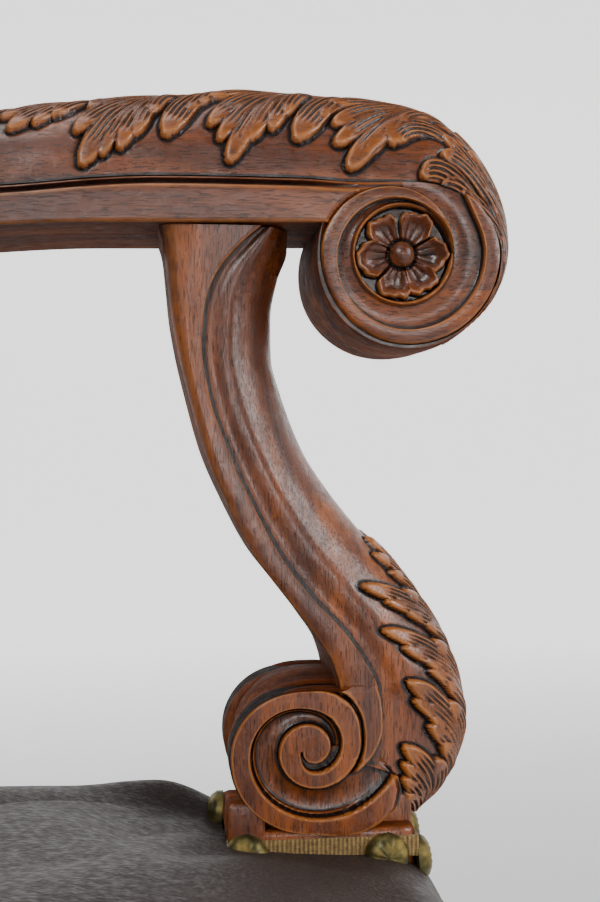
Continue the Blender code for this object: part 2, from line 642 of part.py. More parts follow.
def support_block_boxes(clearance):
    """Boxes round the two supports' base blocks, from the rails to above the seat."""
    for side, sign in SIDES.items():
        half = SUPPORT_WIDTH / 2 + clearance
        yield side, (sign * ARM_X - half, DATUM_Y - BLOCK_FRONT - clearance, RAIL_TOP - 0.001), \
            (sign * ARM_X + half, DATUM_Y - BLOCK_REAR + clearance, RAIL_TOP + 0.100)


def post_boxes(clearance):
    """Boxes round the rear posts, where they pass through the seat."""
    for side, sign in SIDES.items():
        half = POST_WIDTH / 2 + clearance
        yield side, (sign * ARM_X - half, post_front_y(POST_WAIST_Z) - clearance, RAIL_BOTTOM - 0.02), \
            (sign * ARM_X + half, POST_WAIST_Y + 0.06, RAIL_TOP + 0.100)


def make_webbing():
    """Six jute webs, woven over and under each other, tacked across the seat frame."""
    lanes_x = [-0.150, 0.0, 0.150]
    lanes_y = [SEAT_MIDDLE_Y - 0.125, SEAT_MIDDLE_Y, SEAT_MIDDLE_Y + 0.125]
    middle = DECK_Z + WEB_LAYER / 2
    span_x = FRAME_X - 0.004
    span_y = (FRAME_FRONT_Y + 0.006, POST_WAIST_Y + RAIL_THICK / 2 - 0.004)
    for k, y in enumerate(lanes_y):
        web_strip(f"seat_web_across_{k + 1}", 0, (-span_x, span_x), y, middle, lanes_x, k % 2)
    for k, x in enumerate(lanes_x):
        web_strip(f"seat_web_along_{k + 1}", 1, span_y, x, middle, lanes_y, (k + 1) % 2)


def web_strip(name, axis, span, lane, middle, crossings, first):
    """One web: a thin box cut into stations, each raised or lowered where it crosses another web."""
    flat = WEB_WIDTH * 0.55
    stations = [(span[0], 0)]
    for k, c in enumerate(crossings):
        lift = 1 if (k + first) % 2 else -1
        stations += [(c - flat, lift), (c + flat, lift)]
    stations.append((span[1], 0))
    work = bmesh.new()
    rings = []
    for along, lift in stations:
        ring = []
        for across, side in ((-1, -1), (1, -1), (1, 1), (-1, 1)):
            point = [0.0, 0.0, middle + lift * (WEB_WAVE + GAP / 2) + side * WEB_THICK / 2]
            point[axis] = along
            point[1 - axis] = lane + across * WEB_WIDTH / 2
            ring.append(work.verts.new(point))
        rings.append(ring)
    for a, b in zip(rings, rings[1:]):
        for k in range(4):
            work.faces.new((a[k], a[(k + 1) % 4], b[(k + 1) % 4], b[k]))
    work.faces.new(rings[0][::-1])
    work.faces.new(rings[-1])
    bmesh.ops.recalc_face_normals(work, faces=work.faces)
    mesh = bpy.data.meshes.new(name)
    work.to_mesh(mesh)
    work.free()
    return link(name, mesh, JUTE)


def make_seat_upholstery():
    layer_top = DECK_Z + WEB_LAYER + 2 * GAP
    hessian = box("seat_hessian", (-FRAME_X + 0.004, FRAME_FRONT_Y + 0.004, layer_top),
                  (FRAME_X - 0.004, POST_WAIST_Y + RAIL_THICK / 2, layer_top + HESSIAN_THICK), JUTE)
    pad_low = layer_top + HESSIAN_THICK + GAP
    stuffing = soft_block("seat_stuffing", (13, 13, 0), seat_warp(pad_low, 0.0, 0.0), HORSEHAIR)
    skirt = RAIL_BOTTOM - SEAT_SKIRT
    warp = seat_warp(skirt, GAP + LEATHER_THICK, GAP + LEATHER_THICK)
    leather = soft_block("seat_leather", (13, 13, 0), warp, LEATHER)
    hollow = soft_block("seat_leather_inside", (13, 13, 0), seat_warp(skirt - 0.02, GAP, GAP), LEATHER)
    boolean(leather, as_helper(hollow), "DIFFERENCE")
    for piece, clearance in ((hessian, 0.002), (stuffing, 0.002), (leather, 0.0025)):
        for side, low, high in support_block_boxes(clearance):
            boolean(piece, helper_box(f"{piece.name}_block_{side}", low, high), "DIFFERENCE")
        for side, low, high in post_boxes(clearance):
            boolean(piece, helper_box(f"{piece.name}_post_{side}", low, high), "DIFFERENCE")
    return leather


def back_warp(front_edge, crown, rear_gap, wrap, low, high):
    """Places a cube's points as a back pad lying on the raked posts."""
    def place(u, v, w):
        z = low + (high - low) * (w + 1) / 2
        half = ARM_X + POST_WIDTH / 2 + wrap
        dome = (1 - abs(u) ** 2.6) * (1 - abs(w) ** 2.6)
        rear = post_front_y(min(z, BACK_HEIGHT)) + rear_gap
        y = rear if v > 0.99 else post_front_y(min(z, BACK_HEIGHT)) - front_edge - crown * dome
        return u * half, y, z
    return place


def make_back_upholstery():
    low, high = BACK_PAD_LOW_Z, BACK_HEIGHT
    stuffing = soft_block("back_stuffing", (9, 0, 9),
                          back_warp(BACK_PAD_EDGE, BACK_PAD_CROWN, -BACK_WEB_ROOM, 0.0, low, high), HORSEHAIR)
    skin = GAP + LEATHER_THICK
    front = soft_block("back_leather_front", (9, 0, 9),
                       back_warp(BACK_PAD_EDGE + skin, BACK_PAD_CROWN, POST_DEPTH - 0.004, skin,
                                 low - skin, high + skin), LEATHER)
    hollow = soft_block("back_leather_inside", (9, 0, 9),
                        back_warp(BACK_PAD_EDGE + GAP, BACK_PAD_CROWN, POST_DEPTH + 0.02, GAP,
                                  low - GAP, high + GAP), LEATHER)
    boolean(front, as_helper(hollow), "DIFFERENCE")
    rear_low, rear_high = low + 0.004, high - 0.004
    heights = stations_between(rear_low, rear_high)
    face = [(post_centre_y(z) + POST_DEPTH / 2 + GAP, z) for z in heights]
    line = [*face, *[(y + LEATHER_THICK, z) for y, z in face[::-1]]]
    prism("back_leather_rear", line, ARM_X + POST_WIDTH / 2 - 0.002, 0.0, LEATHER)
    arm_low = DATUM_UP + ARM_UNDER[0][1] - 0.010
    arm_high = DATUM_UP + ARM_CREST[0][1] + 0.004
    for piece in (stuffing, front):
        for side, sign in SIDES.items():
            xs = sorted((sign * (ARM_X - ARM_WIDTH / 2 - 0.002), sign * (ARM_X + 0.10)))
            boolean(piece, helper_box(f"{piece.name}_arm_{side}", (xs[0], 0.05, arm_low),
                                      (xs[1], post_front_y(arm_low) + 0.012, arm_high)), "DIFFERENCE")
        for side, sign in SIDES.items():
            half = POST_WIDTH / 2 + GAP
            boolean(piece, post_cutter(f"{piece.name}_post_{side}", sign, half), "DIFFERENCE")
    lower = helper_box("back_leather_lower_rail", (-ARM_X, post_front_y(low) - GAP, low - 0.02),
                       (ARM_X, POST_WAIST_Y + 0.2, low + 0.1))
    boolean(front, lower, "DIFFERENCE")


def post_cutter(name, sign, half):
    """The rear post's own shape, a little larger, for cutting what passes round it."""
    heights = stations_between(BACK_PAD_LOW_Z - 0.05, BACK_HEIGHT + GAP)
    front = [(post_front_y(z) - GAP, z) for z in heights]
    rear = [(post_centre_y(z) + POST_DEPTH / 2 + 0.010, z) for z in heights]
    return as_helper(prism(name, [*front, *rear[::-1]], half, sign * ARM_X, BEECH))


def make_back_webs():
    """Two level webs tacked across the posts, and two upright ones over them, behind the back's stuffing."""
    for k, z in enumerate(BACK_WEB_HEIGHTS):
        back_web(f"back_web_across_{k + 1}", z - WEB_WIDTH / 2, z + WEB_WIDTH / 2, ARM_X + 0.010, 0.0, 1)
    low, high = BACK_LOW_RAIL_Z + 0.010, BACK_HEIGHT - 0.020
    for k, x in enumerate((-BACK_WEB_X, BACK_WEB_X)):
        back_web(f"back_web_upright_{k + 1}", low, high, WEB_WIDTH / 2, x, 2)


def back_web(name, low, high, half_width, x, layer):
    """A web following the posts' rake, in the first or second layer forward of them."""
    forward = layer * (WEB_THICK + GAP)
    heights = stations_between(low, high)
    line = [*[(post_front_y(z) - forward, z) for z in heights],
            *[(post_front_y(z) - forward + WEB_THICK, z) for z in heights[::-1]]]
    prism(name, line, half_width, x, JUTE)


# ---------------------------------------------------------------- braid and nails
def nail_cap(name, centre, normal):
    """A low domed nail head standing along its normal, sunk a little into what it holds."""
    work = bmesh.new()
    bmesh.ops.create_uvsphere(work, u_segments=8, v_segments=4, radius=1.0)
    for vert in work.verts:
        vert.co.z = max(vert.co.z, -NAIL_SINK) + NAIL_LIFT
    turn = Vector(normal).to_track_quat("Z", "Y").to_matrix().to_4x4()
    shape = Matrix.Translation(centre) @ turn @ Matrix.Diagonal((NAIL_RADIUS, NAIL_RADIUS, NAIL_RISE, 1.0))
    bmesh.ops.transform(work, matrix=shape, verts=work.verts)
    mesh = bpy.data.meshes.new(name)
    work.to_mesh(mesh)
    work.free()
    return as_helper(link(name, mesh, BRAID))


def nail_down(strip, start, end, normal):
    """Joins a row of evenly spaced nails, from start to end, to a braid strip."""
    start, end = Vector(start), Vector(end)
    count = max(3, round((end - start).length / NAIL_PITCH))
    for k in range(count):
        share = (k + 0.5) / count
        boolean(strip, nail_cap(f"{strip.name}_nail_{k}", start.lerp(end, share), normal), "UNION")


def make_seat_banding():
    """Braid and nails along the seat's lower edge, outside the leather."""
    out_x = FRAME_X + GAP + LEATHER_THICK + GAP
    out_y = FRAME_FRONT_Y - GAP - LEATHER_THICK - GAP
    low = RAIL_BOTTOM - SEAT_SKIRT
    mid = low + BAND_HEIGHT / 2
    front = box("seat_banding_front", (-out_x, out_y - BAND_THICK, low), (out_x, out_y, low + BAND_HEIGHT),
                BRAID)
    nail_down(front, (-out_x, out_y - BAND_THICK, mid), (out_x, out_y - BAND_THICK, mid), (0, -1, 0))
    rear_y = post_front_y(POST_WAIST_Z) - GAP
    for side, sign in SIDES.items():
        xs = sorted((sign * out_x, sign * (out_x + BAND_THICK)))
        face = sign * (out_x + BAND_THICK)
        strip = box(f"seat_banding_{side}", (xs[0], out_y + GAP, low), (xs[1], rear_y, low + BAND_HEIGHT),
                    BRAID)
        nail_down(strip, (face, out_y + GAP, mid), (face, rear_y, mid), (sign, 0, 0))


def make_back_banding():
    """Braid and nails down the back's two sides, over the edge of its leather."""
    reach = POST_DEPTH - 0.004 - BAND_HEIGHT
    out_x = ARM_X + POST_WIDTH / 2 + 2 * GAP + LEATHER_THICK
    low, high = DATUM_UP + ARM_CREST[0][1] + 0.030, BACK_HEIGHT - 0.010
    heights = stations_between(low, high)
    line = [*[(post_front_y(z) + reach, z) for z in heights],
            *[(post_front_y(z) + reach + BAND_HEIGHT, z) for z in heights[::-1]]]
    for side, sign in SIDES.items():
        strip = prism(f"back_banding_{side}", line, BAND_THICK / 2, sign * (out_x + BAND_THICK / 2), BRAID)
        face = sign * (out_x + BAND_THICK)
        for z_low, z_high in zip(heights, heights[1:]):
            start, end = [(face, post_front_y(z) + reach + BAND_HEIGHT / 2, z) for z in (z_low, z_high)]
            nail_down(strip, start, end, (sign, 0, 0))


def make_block_collars():
    """A braid collar round each support's base block, where the leather is cut, with nails at its corners."""
    low = DATUM_UP - 0.1512
    high = low + 0.0075
    for side, sign in SIDES.items():
        half = SUPPORT_WIDTH / 2 + GAP
        collar = box(f"block_braid_{side}",
                     (sign * ARM_X - half - BAND_THICK, DATUM_Y - BLOCK_FRONT - GAP - BAND_THICK, low),
                     (sign * ARM_X + half + BAND_THICK, DATUM_Y - BLOCK_REAR + GAP + BAND_THICK, high), BRAID)
        hole = helper_box(f"block_braid_{side}_hole",
                          (sign * ARM_X - half, DATUM_Y - BLOCK_FRONT - GAP, low - 0.01),
                          (sign * ARM_X + half, DATUM_Y - BLOCK_REAR + GAP, high + 0.01))
        boolean(collar, hole, "DIFFERENCE")


# ---------------------------------------------------------------- assembly
def build():
    arms = {s: make_arm(s, k) for s, k in SIDES.items()}
    supports = {s: make_support(s, k) for s, k in SIDES.items()}
    legs = {s: make_front_leg(s, k) for s, k in SIDES.items()}
    posts = {s: make_rear_post(s, k) for s, k in SIDES.items()}
    for side, sign in SIDES.items():
        make_foot(side, sign, legs[side])
    make_seat_rails(legs, posts)
    make_corner_blocks()
    make_back_rails(posts)
    make_stretchers(legs, posts)
    join_arms(arms, supports, legs, posts)
    make_webbing()
    make_seat_upholstery()
    make_back_webs()
    make_back_upholstery()
    make_seat_banding()
    make_back_banding()
    make_block_collars()


build()
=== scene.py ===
"""Finished look of the carved open armchair: scroll arms with acanthus leaves, S supports with volutes,
leather seat and back, braid and lobed brass nails, waxed walnut.

Side shapes are worked out in millimetres on the plane of an arm: forward of the datum point and up from it.
across is the distance from the arm's middle plane. The same carving serves both arms and both faces of each.
"""

import math

import bmesh
import bpy
import numpy as np
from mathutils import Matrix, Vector


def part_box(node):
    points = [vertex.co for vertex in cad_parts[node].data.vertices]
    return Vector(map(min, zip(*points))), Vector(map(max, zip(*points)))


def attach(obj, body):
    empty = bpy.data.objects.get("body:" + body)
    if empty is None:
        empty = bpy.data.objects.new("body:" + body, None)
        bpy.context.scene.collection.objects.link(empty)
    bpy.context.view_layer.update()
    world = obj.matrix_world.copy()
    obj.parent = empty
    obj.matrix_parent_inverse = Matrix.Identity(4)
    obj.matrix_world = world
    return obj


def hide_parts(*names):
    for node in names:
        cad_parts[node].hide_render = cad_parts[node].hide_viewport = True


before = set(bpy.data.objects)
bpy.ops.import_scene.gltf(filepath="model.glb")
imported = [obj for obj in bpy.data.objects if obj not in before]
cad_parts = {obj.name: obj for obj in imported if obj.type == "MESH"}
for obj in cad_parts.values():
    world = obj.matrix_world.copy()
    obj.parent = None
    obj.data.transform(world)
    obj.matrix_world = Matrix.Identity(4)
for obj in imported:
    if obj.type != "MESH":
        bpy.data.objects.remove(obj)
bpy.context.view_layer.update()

# ---------------------------------------------------------------- places taken from the frame
MM = 0.001
SIDES = {"left": 1, "right": -1}
ARM_LOW, ARM_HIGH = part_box("arm_left")
ARM_X = (ARM_LOW.x + ARM_HIGH.x) / 2
BRAID_LOW, BRAID_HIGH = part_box("block_braid_left")
CREST_UP = 0.1320                        # the arm's highest point over the datum
BLOCK_FORWARD = 0.0605                   # the support block's middle, forward of the datum
DATUM_Z = ARM_HIGH.z - CREST_UP
DATUM_Y = (BRAID_LOW.y + BRAID_HIGH.y) / 2 + BLOCK_FORWARD
BACK_LOW, BACK_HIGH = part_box("back_leather_front")
LEG_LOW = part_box("front_leg_left")[0]
RAIL_LOW, RAIL_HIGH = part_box("side_seat_rail_left")
LEG_TOP = RAIL_LOW.z

# ---------------------------------------------------------------- arm and support outlines, in millimetres
SCROLL = (89.6, 69.0)                    # the rosette's middle: forward, up
ARM_REAR = -383.0
CREST = [(-400, 131), (-383, 124), (-335, 108), (-280, 98.5), (-215, 98.5), (-140, 108), (-57.8, 123.1),
         (-39.6, 126.2), (-21.2, 128.3), (1.1, 131.0), (35, 133.2), (54.1, 133.2), (73.4, 132.0),
         (89.6, 130.0)]
UNDERSIDE = [(-400, 88), (-383, 80), (-335, 66.5), (-280, 58.5), (-215, 57.5), (-140, 66), (-55, 75.7),
             (-27, 77.3), (1.1, 77.8), (47.7, 78.7), (89.6, 79.5)]
SIDE_BAND = [(-400, 11), (-55, 11.2), (1.1, 13.9), (51.4, 13.1), (71.5, 12.0), (89.6, 12.0)]
SCROLL_OUTSIDE = [(-20, 62.4), (0, 61.0), (15, 59.2), (35, 54.6), (60, 48.9), (90, 43.8), (125, 39.2),
                  (180, 36.0), (230, 34.0), (288, 31.4), (330, 30.0)]
SCROLL_FACE = [(-72, 31.2), (-40, 28.6), (0, 26.0), (30, 28.5), (60, 33.0), (90, 36.4), (180, 34.3),
               (270, 30.9), (288, 31.2)]
# the scroll's raised band: turn angle clockwise from straight up, outer radius, width
SCROLL_BAND = [(40, 32.0, 0.0), (52, 33.4, 3.4), (64, 34.6, 5.4), (90, 36.4, 6.6), (180, 34.3, 6.1),
               (270, 30.8, 6.8), (360, 23.5, 4.6), (405, 20.6, 2.8), (450, 18.7, 0.9)]

VOLUTE = (55.3, -112.5)                  # the volute's eye
# stations down the support: rear edge, step between flat band and round body, front edge
SUPPORT_STATIONS = [
    ((0.5, 77.6), (37.5, 77.6), (49.5, 77.6)), ((2.1, 71.8), (31.0, 72.0), (49.5, 71.6)),
    ((3.4, 60.0), (21.2, 60.0), (46.0, 61.0)), ((4.6, 48.0), (17.1, 48.0), (43.3, 47.0)),
    ((7.0, 34.0), (16.0, 34.0), (43.5, 32.0)), ((11.0, 17.0), (18.5, 17.0), (47.2, 17.0)),
    ((17.2, -5.0), (26.0, -5.0), (55.0, -3.0)), ((26.0, -25.0), (35.2, -25.0), (65.0, -19.0)),
    ((35.8, -43.2), (45.0, -43.0), (78.0, -35.0)), ((46.5, -57.1), (56.3, -57.8), (91.0, -48.8)),
    ((56.5, -70.2), (67.6, -69.8), (102.0, -63.2)), ((64.0, -82.0), (75.8, -81.5), (110.5, -77.8)),
    ((66.5, -92.0), (80.8, -92.2), (115.8, -93.0)), ((63.0, -101.0), (82.1, -103.0), (118.5, -107.0)),
    ((60.0, -107.0), (80.0, -112.5), (115.4, -121.5)), ((58.0, -111.0), (75.0, -119.8), (108.8, -133.5)),
    ((57.0, -114.0), (69.0, -123.5), (99.0, -143.0))]
# spirals on the volute's face: turn angle counter-clockwise from straight forward, radius
VOLUTE_RIM = [(-170, 2.6), (-135, 3.6), (-90, 5.4), (-45, 6.8), (0, 7.7), (90, 8.6), (180, 11.2),
              (270, 14.7), (360, 18.9), (374, 19.5), (392, 20.9), (413, 21.9), (450, 21.1), (540, 28.6),
              (585, 31.0), (630, 31.6), (660, 37.0), (700, 43.0)]
VOLUTE_GROOVE = [(200, 3.4), (230, 4.8), (270, 8.5), (360, 11.6), (450, 14.2), (540, 21.5), (630, 25.7),
                 (680, 30.0), (705, 33.0), (730, 36.0)]
VOLUTE_STEP = [(-50, 14.0), (-34.5, 18.2), (-12.7, 22.7), (4.6, 26.2), (24.5, 29.7), (43.6, 33.9),
               (60.6, 38.7), (70, 40.0)]
VOLUTE_SIDE = [(-75, 34.5), (-60, 40.0), (-40, 41.0), (-28, 39.0), (-18, 34.0), (-12.7, 29.0), (4.6, 27.2),
               (24.5, 30.5), (43.6, 34.4), (52, 30.0), (57, 25.5), (62, 23.0), (75, 21.8), (90, 21.1),
               (180, 29.0), (225, 31.4), (240, 31.6), (270, 31.6), (285, 34.5)]

# carved leaves on the arm, fan by fan: root of the fan, then each finger's tip and half width. Places are
# along the crest and down over the side. A fan's tips stand over the root of the fan behind it.
ARM_FANS = [
    ((-64, 5), [((-101, 25), 4.2), ((-93, 22.5), 3.6), ((-86, 19), 3.4), ((-97, 14), 3.6)]),
    ((-44, 5), [((-78, 27), 4.4), ((-70, 24), 3.6), ((-62, 20), 3.4), ((-76, 16), 3.6)]),
    ((-14, 4), [((-55, 17.5), 3.6), ((-52.0, 25.0), 4.4), ((-43.6, 24.0), 3.4), ((-37.0, 20.8), 3.6),
                ((-23.0, 16.8), 3.8)]),
    ((10, 5), [((-24.0, 17.0), 3.8), ((-28.4, 29.6), 4.4), ((-26.0, 42.6), 5.2), ((-19.4, 40.2), 3.4),
               ((-13.0, 38.0), 4.2), ((-7.6, 33.4), 3.8), ((-2.0, 24.0), 3.6)]),
    ((30, 3), [((3.6, 33.6), 5.6), ((11.4, 24.4), 3.2), ((16.4, 19.8), 2.8)]),
    ((62, 2),
     [((20.0, 15.0), 3.8), ((19.6, 30.4), 4.2), ((22.8, 37.0), 3.8), ((26.2, 45.0), 4.6),
      ((30.6, 39.8), 3.4),
               ((34.0, 36.6), 4.2), ((41.6, 32.2), 4.2), ((47.0, 25.8), 3.4)]),
    ((86, 2), [((51.2, 35.8), 5.8), ((60.2, 27.0), 3.0)]),
    ((122, 4), [((65.2, 17.0), 4.0), ((65.6, 28.6), 4.4), ((65.6, 37.2), 4.0), ((70.2, 45.2), 4.8),
                ((76.0, 39.6), 3.4), ((78.4, 36.8), 3.6), ((84.0, 31.2), 3.6), ((90.0, 24.0), 3.4)])]
# fingers that run on round the scroll: tip, shoulder, root, half width, height
SCROLL_FINGERS = [
    ((86.4, 32.8), (93.0, 18.0), (132.0, 24.0), 5.4, 2.4),
                  ((112.0, 23.0), (136.0, 25.0), (170.0, 31.0), 3.6, 1.9),
    ((104.6, 42.8), (116.0, 33.0), (166.0, 34.0), 4.8, 2.5),
                  ((121.0, 41.6), (130.0, 34.0), (168.0, 33.0), 3.8, 2.3),
    ((114.0, 31.0), (130.0, 26.0), (176.0, 28.0), 4.2, 2.2),
                  ((134.0, 39.0), (142.0, 33.5), (176.0, 31.0), 3.8, 2.2),
    ((126.0, 18.0), (150.0, 18.0), (200.0, 12.0), 4.2, 1.7),
                  ((118.0, 8.0), (150.0, 10.0), (206.0, 6.0), 4.4, 1.6),
    ((112.0, 0.0), (150.0, 3.0), (206.0, 1.0), 4.0, 1.6)]
LEAF_EDGE = [(-110, 0), (-92, 9), (-60, 11), (4, 9), (20, 7), (54, 8), (80, 8), (110, 15), (131, 22),
             (150, 28), (175, 34), (192, 30), (212, 0)]
# carved leaves on the support, fan by fan in the same way: down the front edge, round from it
SUPPORT_FANS = [
    ((168, 0), [((127, 8), 4.0), ((134, 14), 4.0), ((143, 14), 3.4)]),
    ((192, 0),
     [((144, 30.5), 4.6), ((153, 27), 3.8), ((160, 22.5), 3.4), ((167, 17), 3.4), ((152, 16), 4.2)]),
    ((218, 0), [((165, 35.5), 4.8), ((174, 32.5), 4.4), ((181, 27), 3.2), ((186, 26), 3.4), ((175, 18), 4.6),
                ((192, 20), 3.4)]),
    ((242, 1), [((190, 36.5), 5.0), ((199, 34), 4.4), ((206, 29), 3.2), ((210, 29), 3.8), ((201, 19), 4.8),
                ((217, 22), 3.6)]),
    ((258, 3), [((221, 37), 4.6), ((229, 35), 3.4), ((225, 22), 4.6), ((236, 31), 3.6), ((243, 24), 4.2)])]
SUPPORT_LEAF_EDGE = [(122, 0), (130, 5), (150, 12), (170, 15), (200, 16), (230, 16), (252, 14), (262, 0)]
LEAF_HEIGHT = 2.4
VEIN_PITCH = 1.9
LEAF_BED = 1.7
EDGE_ROUND = 1.5                          # how far in from its edge a leaf is rounded
SHOULDER = (0.42, 0.80)                   # where a finger bends, as shares of the way from tip to root


# ---------------------------------------------------------------- number helpers
def through(points, x, column=1):
    """Smooth curve through (x, y) points: cubic Hermite pieces whose slopes are limited so it never
    overshoots."""
    px = np.array([p[0] for p in points], float)
    py = np.array([p[column] for p in points], float)
    step, rise = np.diff(px), np.diff(py)
    slope = rise / step
    left, right = slope[:-1], slope[1:]
    same = left * right > 0
    middle = np.where(same, 2 * left * right / np.where(same, left + right, 1), 0.0)
    tangent = np.concatenate(([slope[0]], middle, [slope[-1]]))
    x = np.clip(x, px[0], px[-1])
    k = np.clip(np.searchsorted(px, x) - 1, 0, len(step) - 1)
    t = (x - px[k]) / step[k]
    return (py[k] * (1 + 2 * t) * (1 - t) ** 2 + tangent[k] * step[k] * t * (1 - t) ** 2
            + py[k + 1] * t * t * (3 - 2 * t) + tangent[k + 1] * step[k] * t * t * (t - 1))


def ramp(low, high, x):
    """Smooth step: 0 below low, 1 above high, 3t^2 - 2t^3 between."""
    t = np.clip((x - low) / (high - low), 0.0, 1.0)
    return t * t * (3 - 2 * t)


def blurred(field, passes, wrap=(False, False)):
    """Field averaged with its neighbours on both axes, this many times."""
    for _ in range(passes):
        for axis in (0, 1):
            before, after = np.roll(field, 1, axis), np.roll(field, -1, axis)
            if not wrap[axis]:
                ends = [slice(None)] * 2
                for take, source in ((0, before), (-1, after)):
                    ends[axis] = take
                    source[tuple(ends)] = field[tuple(ends)]
            field = (before + 2 * field + after) / 4
    return field


def hollows(height, passes=10, depth=1.2, wrap=(False, False)):
    """-1 to 1: how far each point lies under (+) or over (-) the average of its surroundings."""
    return np.clip((blurred(height, passes, wrap) - height) / depth, -1, 1)


def finger_height(along, down, tip, shoulder, root, width, height):
    """One finger of a leaf: the distance d from a parabola (tip, shoulder, root) is kept under a half width
    that swells from the tip and narrows to the root. Inside, the height is a flat plate whose last
    millimetres fall as a quarter circle, less three gouge lines exp(-((d - place) / 0.42)^2); outside, a
    shallow halo."""
    tip, shoulder, root = (np.array(p, float) for p in (tip, shoulder, root))
    reach = width + 2.5
    low = np.minimum(np.minimum(tip, shoulder), root) - reach
    high = np.maximum(np.maximum(tip, shoulder), root) + reach
    near = (along > low[0]) & (along < high[0]) & (down > low[1]) & (down < high[1])
    out, vein, live = np.zeros_like(along), np.zeros_like(along), np.zeros_like(along)
    if not near.any():
        return out, vein, live
    x, y = along[near], down[near]
    t = np.linspace(0, 1, 15)[:, None]
    curve = (1 - t) ** 2 * tip + 2 * t * (1 - t) * shoulder + t * t * root
    best = np.full(x.shape, 1e9)
    share = np.zeros(x.shape)
    side = np.zeros(x.shape)
    for k in range(len(curve) - 1):
        (ax, ay), (dx, dy) = curve[k], curve[k + 1] - curve[k]
        f = np.clip(((x - ax) * dx + (y - ay) * dy) / (dx * dx + dy * dy), 0, 1)
        off_x, off_y = x - ax - f * dx, y - ay - f * dy
        d = np.hypot(off_x, off_y)
        closer = d < best
        best = np.where(closer, d, best)
        share = np.where(closer, (k + f) / (len(curve) - 1), share)
        side = np.where(closer, np.sign(dx * off_y - dy * off_x), side)
    swell = np.where(share < 0.16, 0.45 + 0.55 * np.sqrt(np.clip(share / 0.16, 0, 1)), 1.0)
    half = width * swell * (1 - 0.66 * ramp(0.25, 1.0, share))
    inside = np.clip((half - best) / EDGE_ROUND, 0, 1)
    lift = height * (1 - 0.62 * ramp(0.1, 0.95, share))
    plate = lift * np.sqrt(1 - (1 - inside) ** 2) + 0.35 * np.clip(1 - (best / half) ** 2, 0, 1)
    lines = side * best
    open_share = ramp(0.07, 0.17, share) * (1 - ramp(0.85, 1.0, share))
    gouges = open_share * np.exp(-((lines - VEIN_PITCH * np.round(lines / VEIN_PITCH)) / 0.42) ** 2)
    # the halo's shallow dip is what the hollow marks paint dark: a painted shadow round the finger's edge
    halo = -0.55 * np.exp(-np.clip(best - half, 0, None) / 0.9) * (1 - ramp(0.35, 0.8, share))
    out[near] = np.where(best < half, np.maximum(plate - 0.95 * gouges, 0.03), halo)
    vein[near], live[near] = lines, open_share * (best < half)
    return out, vein, live


def fingers_of(fans):
    """Every finger of every fan, as tip, shoulder, root, half width and height."""
    for root, fingers in fans:
        for tip, width in fingers:
            shoulder = tuple(t + s * (r - t) for t, s, r in zip(tip, SHOULDER, root))
            yield tip, shoulder, root, width, LEAF_HEIGHT


def leaf_relief(along, down, fingers, edge, vein_pitch):
    """Height of the carved leaf, the highest of its fingers and of a gouged sheet along the stem; each
    point's distance across the gouge lines it lies among, and how much it takes them."""
    rim = through(edge, along)
    sheet = 1.1 * ramp(0.0, 1.2, rim - down)
    gouge = np.abs(np.sin(np.pi * (down + 0.10 * along) / vein_pitch)) ** 0.35
    total = sheet * (0.45 + 0.55 * gouge)
    dips = np.zeros_like(total)
    vein = (down + 0.10 * along) * VEIN_PITCH / vein_pitch
    live = 1.0 * (sheet > 0.5)
    for finger in fingers:
        height, lines, open_share = finger_height(along, down, *finger)
        vein = np.where(height > total, lines, vein)
        live = np.where(height > total, open_share, live)
        total = np.maximum(total, height)
        dips = np.minimum(dips, height)
    return np.where(total > 0.02, total, dips), vein, live * (total > 0.02)


# ---------------------------------------------------------------- mesh helpers
def mirrored(*halves):
    """Each grid of half sections followed by its other half, which carries the sign given."""
    return [np.concatenate((half, sign * half[:, -2:0:-1]), 1) for half, sign in halves]


def shown(name, mesh, look, *replaced):
    """Links a finished mesh as a piece that rides on the frame and stands for the nodes named."""
    piece = bpy.data.objects.new(name, mesh)
    bpy.context.scene.collection.objects.link(piece)
    mesh.materials.clear()
    mesh.materials.append(look)
    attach(piece, "root")
    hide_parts(*replaced)
    return piece


def grid_mesh(name, points, loop_rows=False, loop_columns=False, cap_rows=False, **marks):
    """Quads over a grid of points (rows, columns, xyz). Open rows can be capped by a fan at each end. Each
    mark is kept as a number per point, for the materials."""
    rows, columns = points.shape[:2]
    index = np.arange(rows * columns).reshape(rows, columns)
    row = np.concatenate((index, index[:1])) if loop_rows else index
    grid = np.concatenate((row, row[:, :1]), axis=1) if loop_columns else row
    quads = np.stack((grid[:-1, :-1], grid[:-1, 1:], grid[1:, 1:], grid[1:, :-1]), axis=-1).reshape(-1, 4)
    verts = points.reshape(-1, 3)
    faces = quads.tolist()
    if cap_rows:
        middles = np.stack((points[0].mean(axis=0), points[-1].mean(axis=0)))
        verts = np.concatenate((verts, middles))
        total = rows * columns
        ring = np.arange(columns)
        after = np.roll(ring, -1)
        faces += np.stack((np.full(columns, total), after, ring), axis=1).tolist()
        last = (rows - 1) * columns
        faces += np.stack((np.full(columns, total + 1), last + ring, last + after), axis=1).tolist()
    mesh = bpy.data.meshes.new(name)
    mesh.from_pydata(verts.tolist(), [], faces)
    for mark, values in marks.items():
        flat = np.zeros(len(verts), np.float32)
        flat[: rows * columns] = values.ravel()
        mesh.attributes.new(mark, "FLOAT", "POINT").data.foreach_set("value", flat)
    tidy_mesh(mesh)
    return mesh


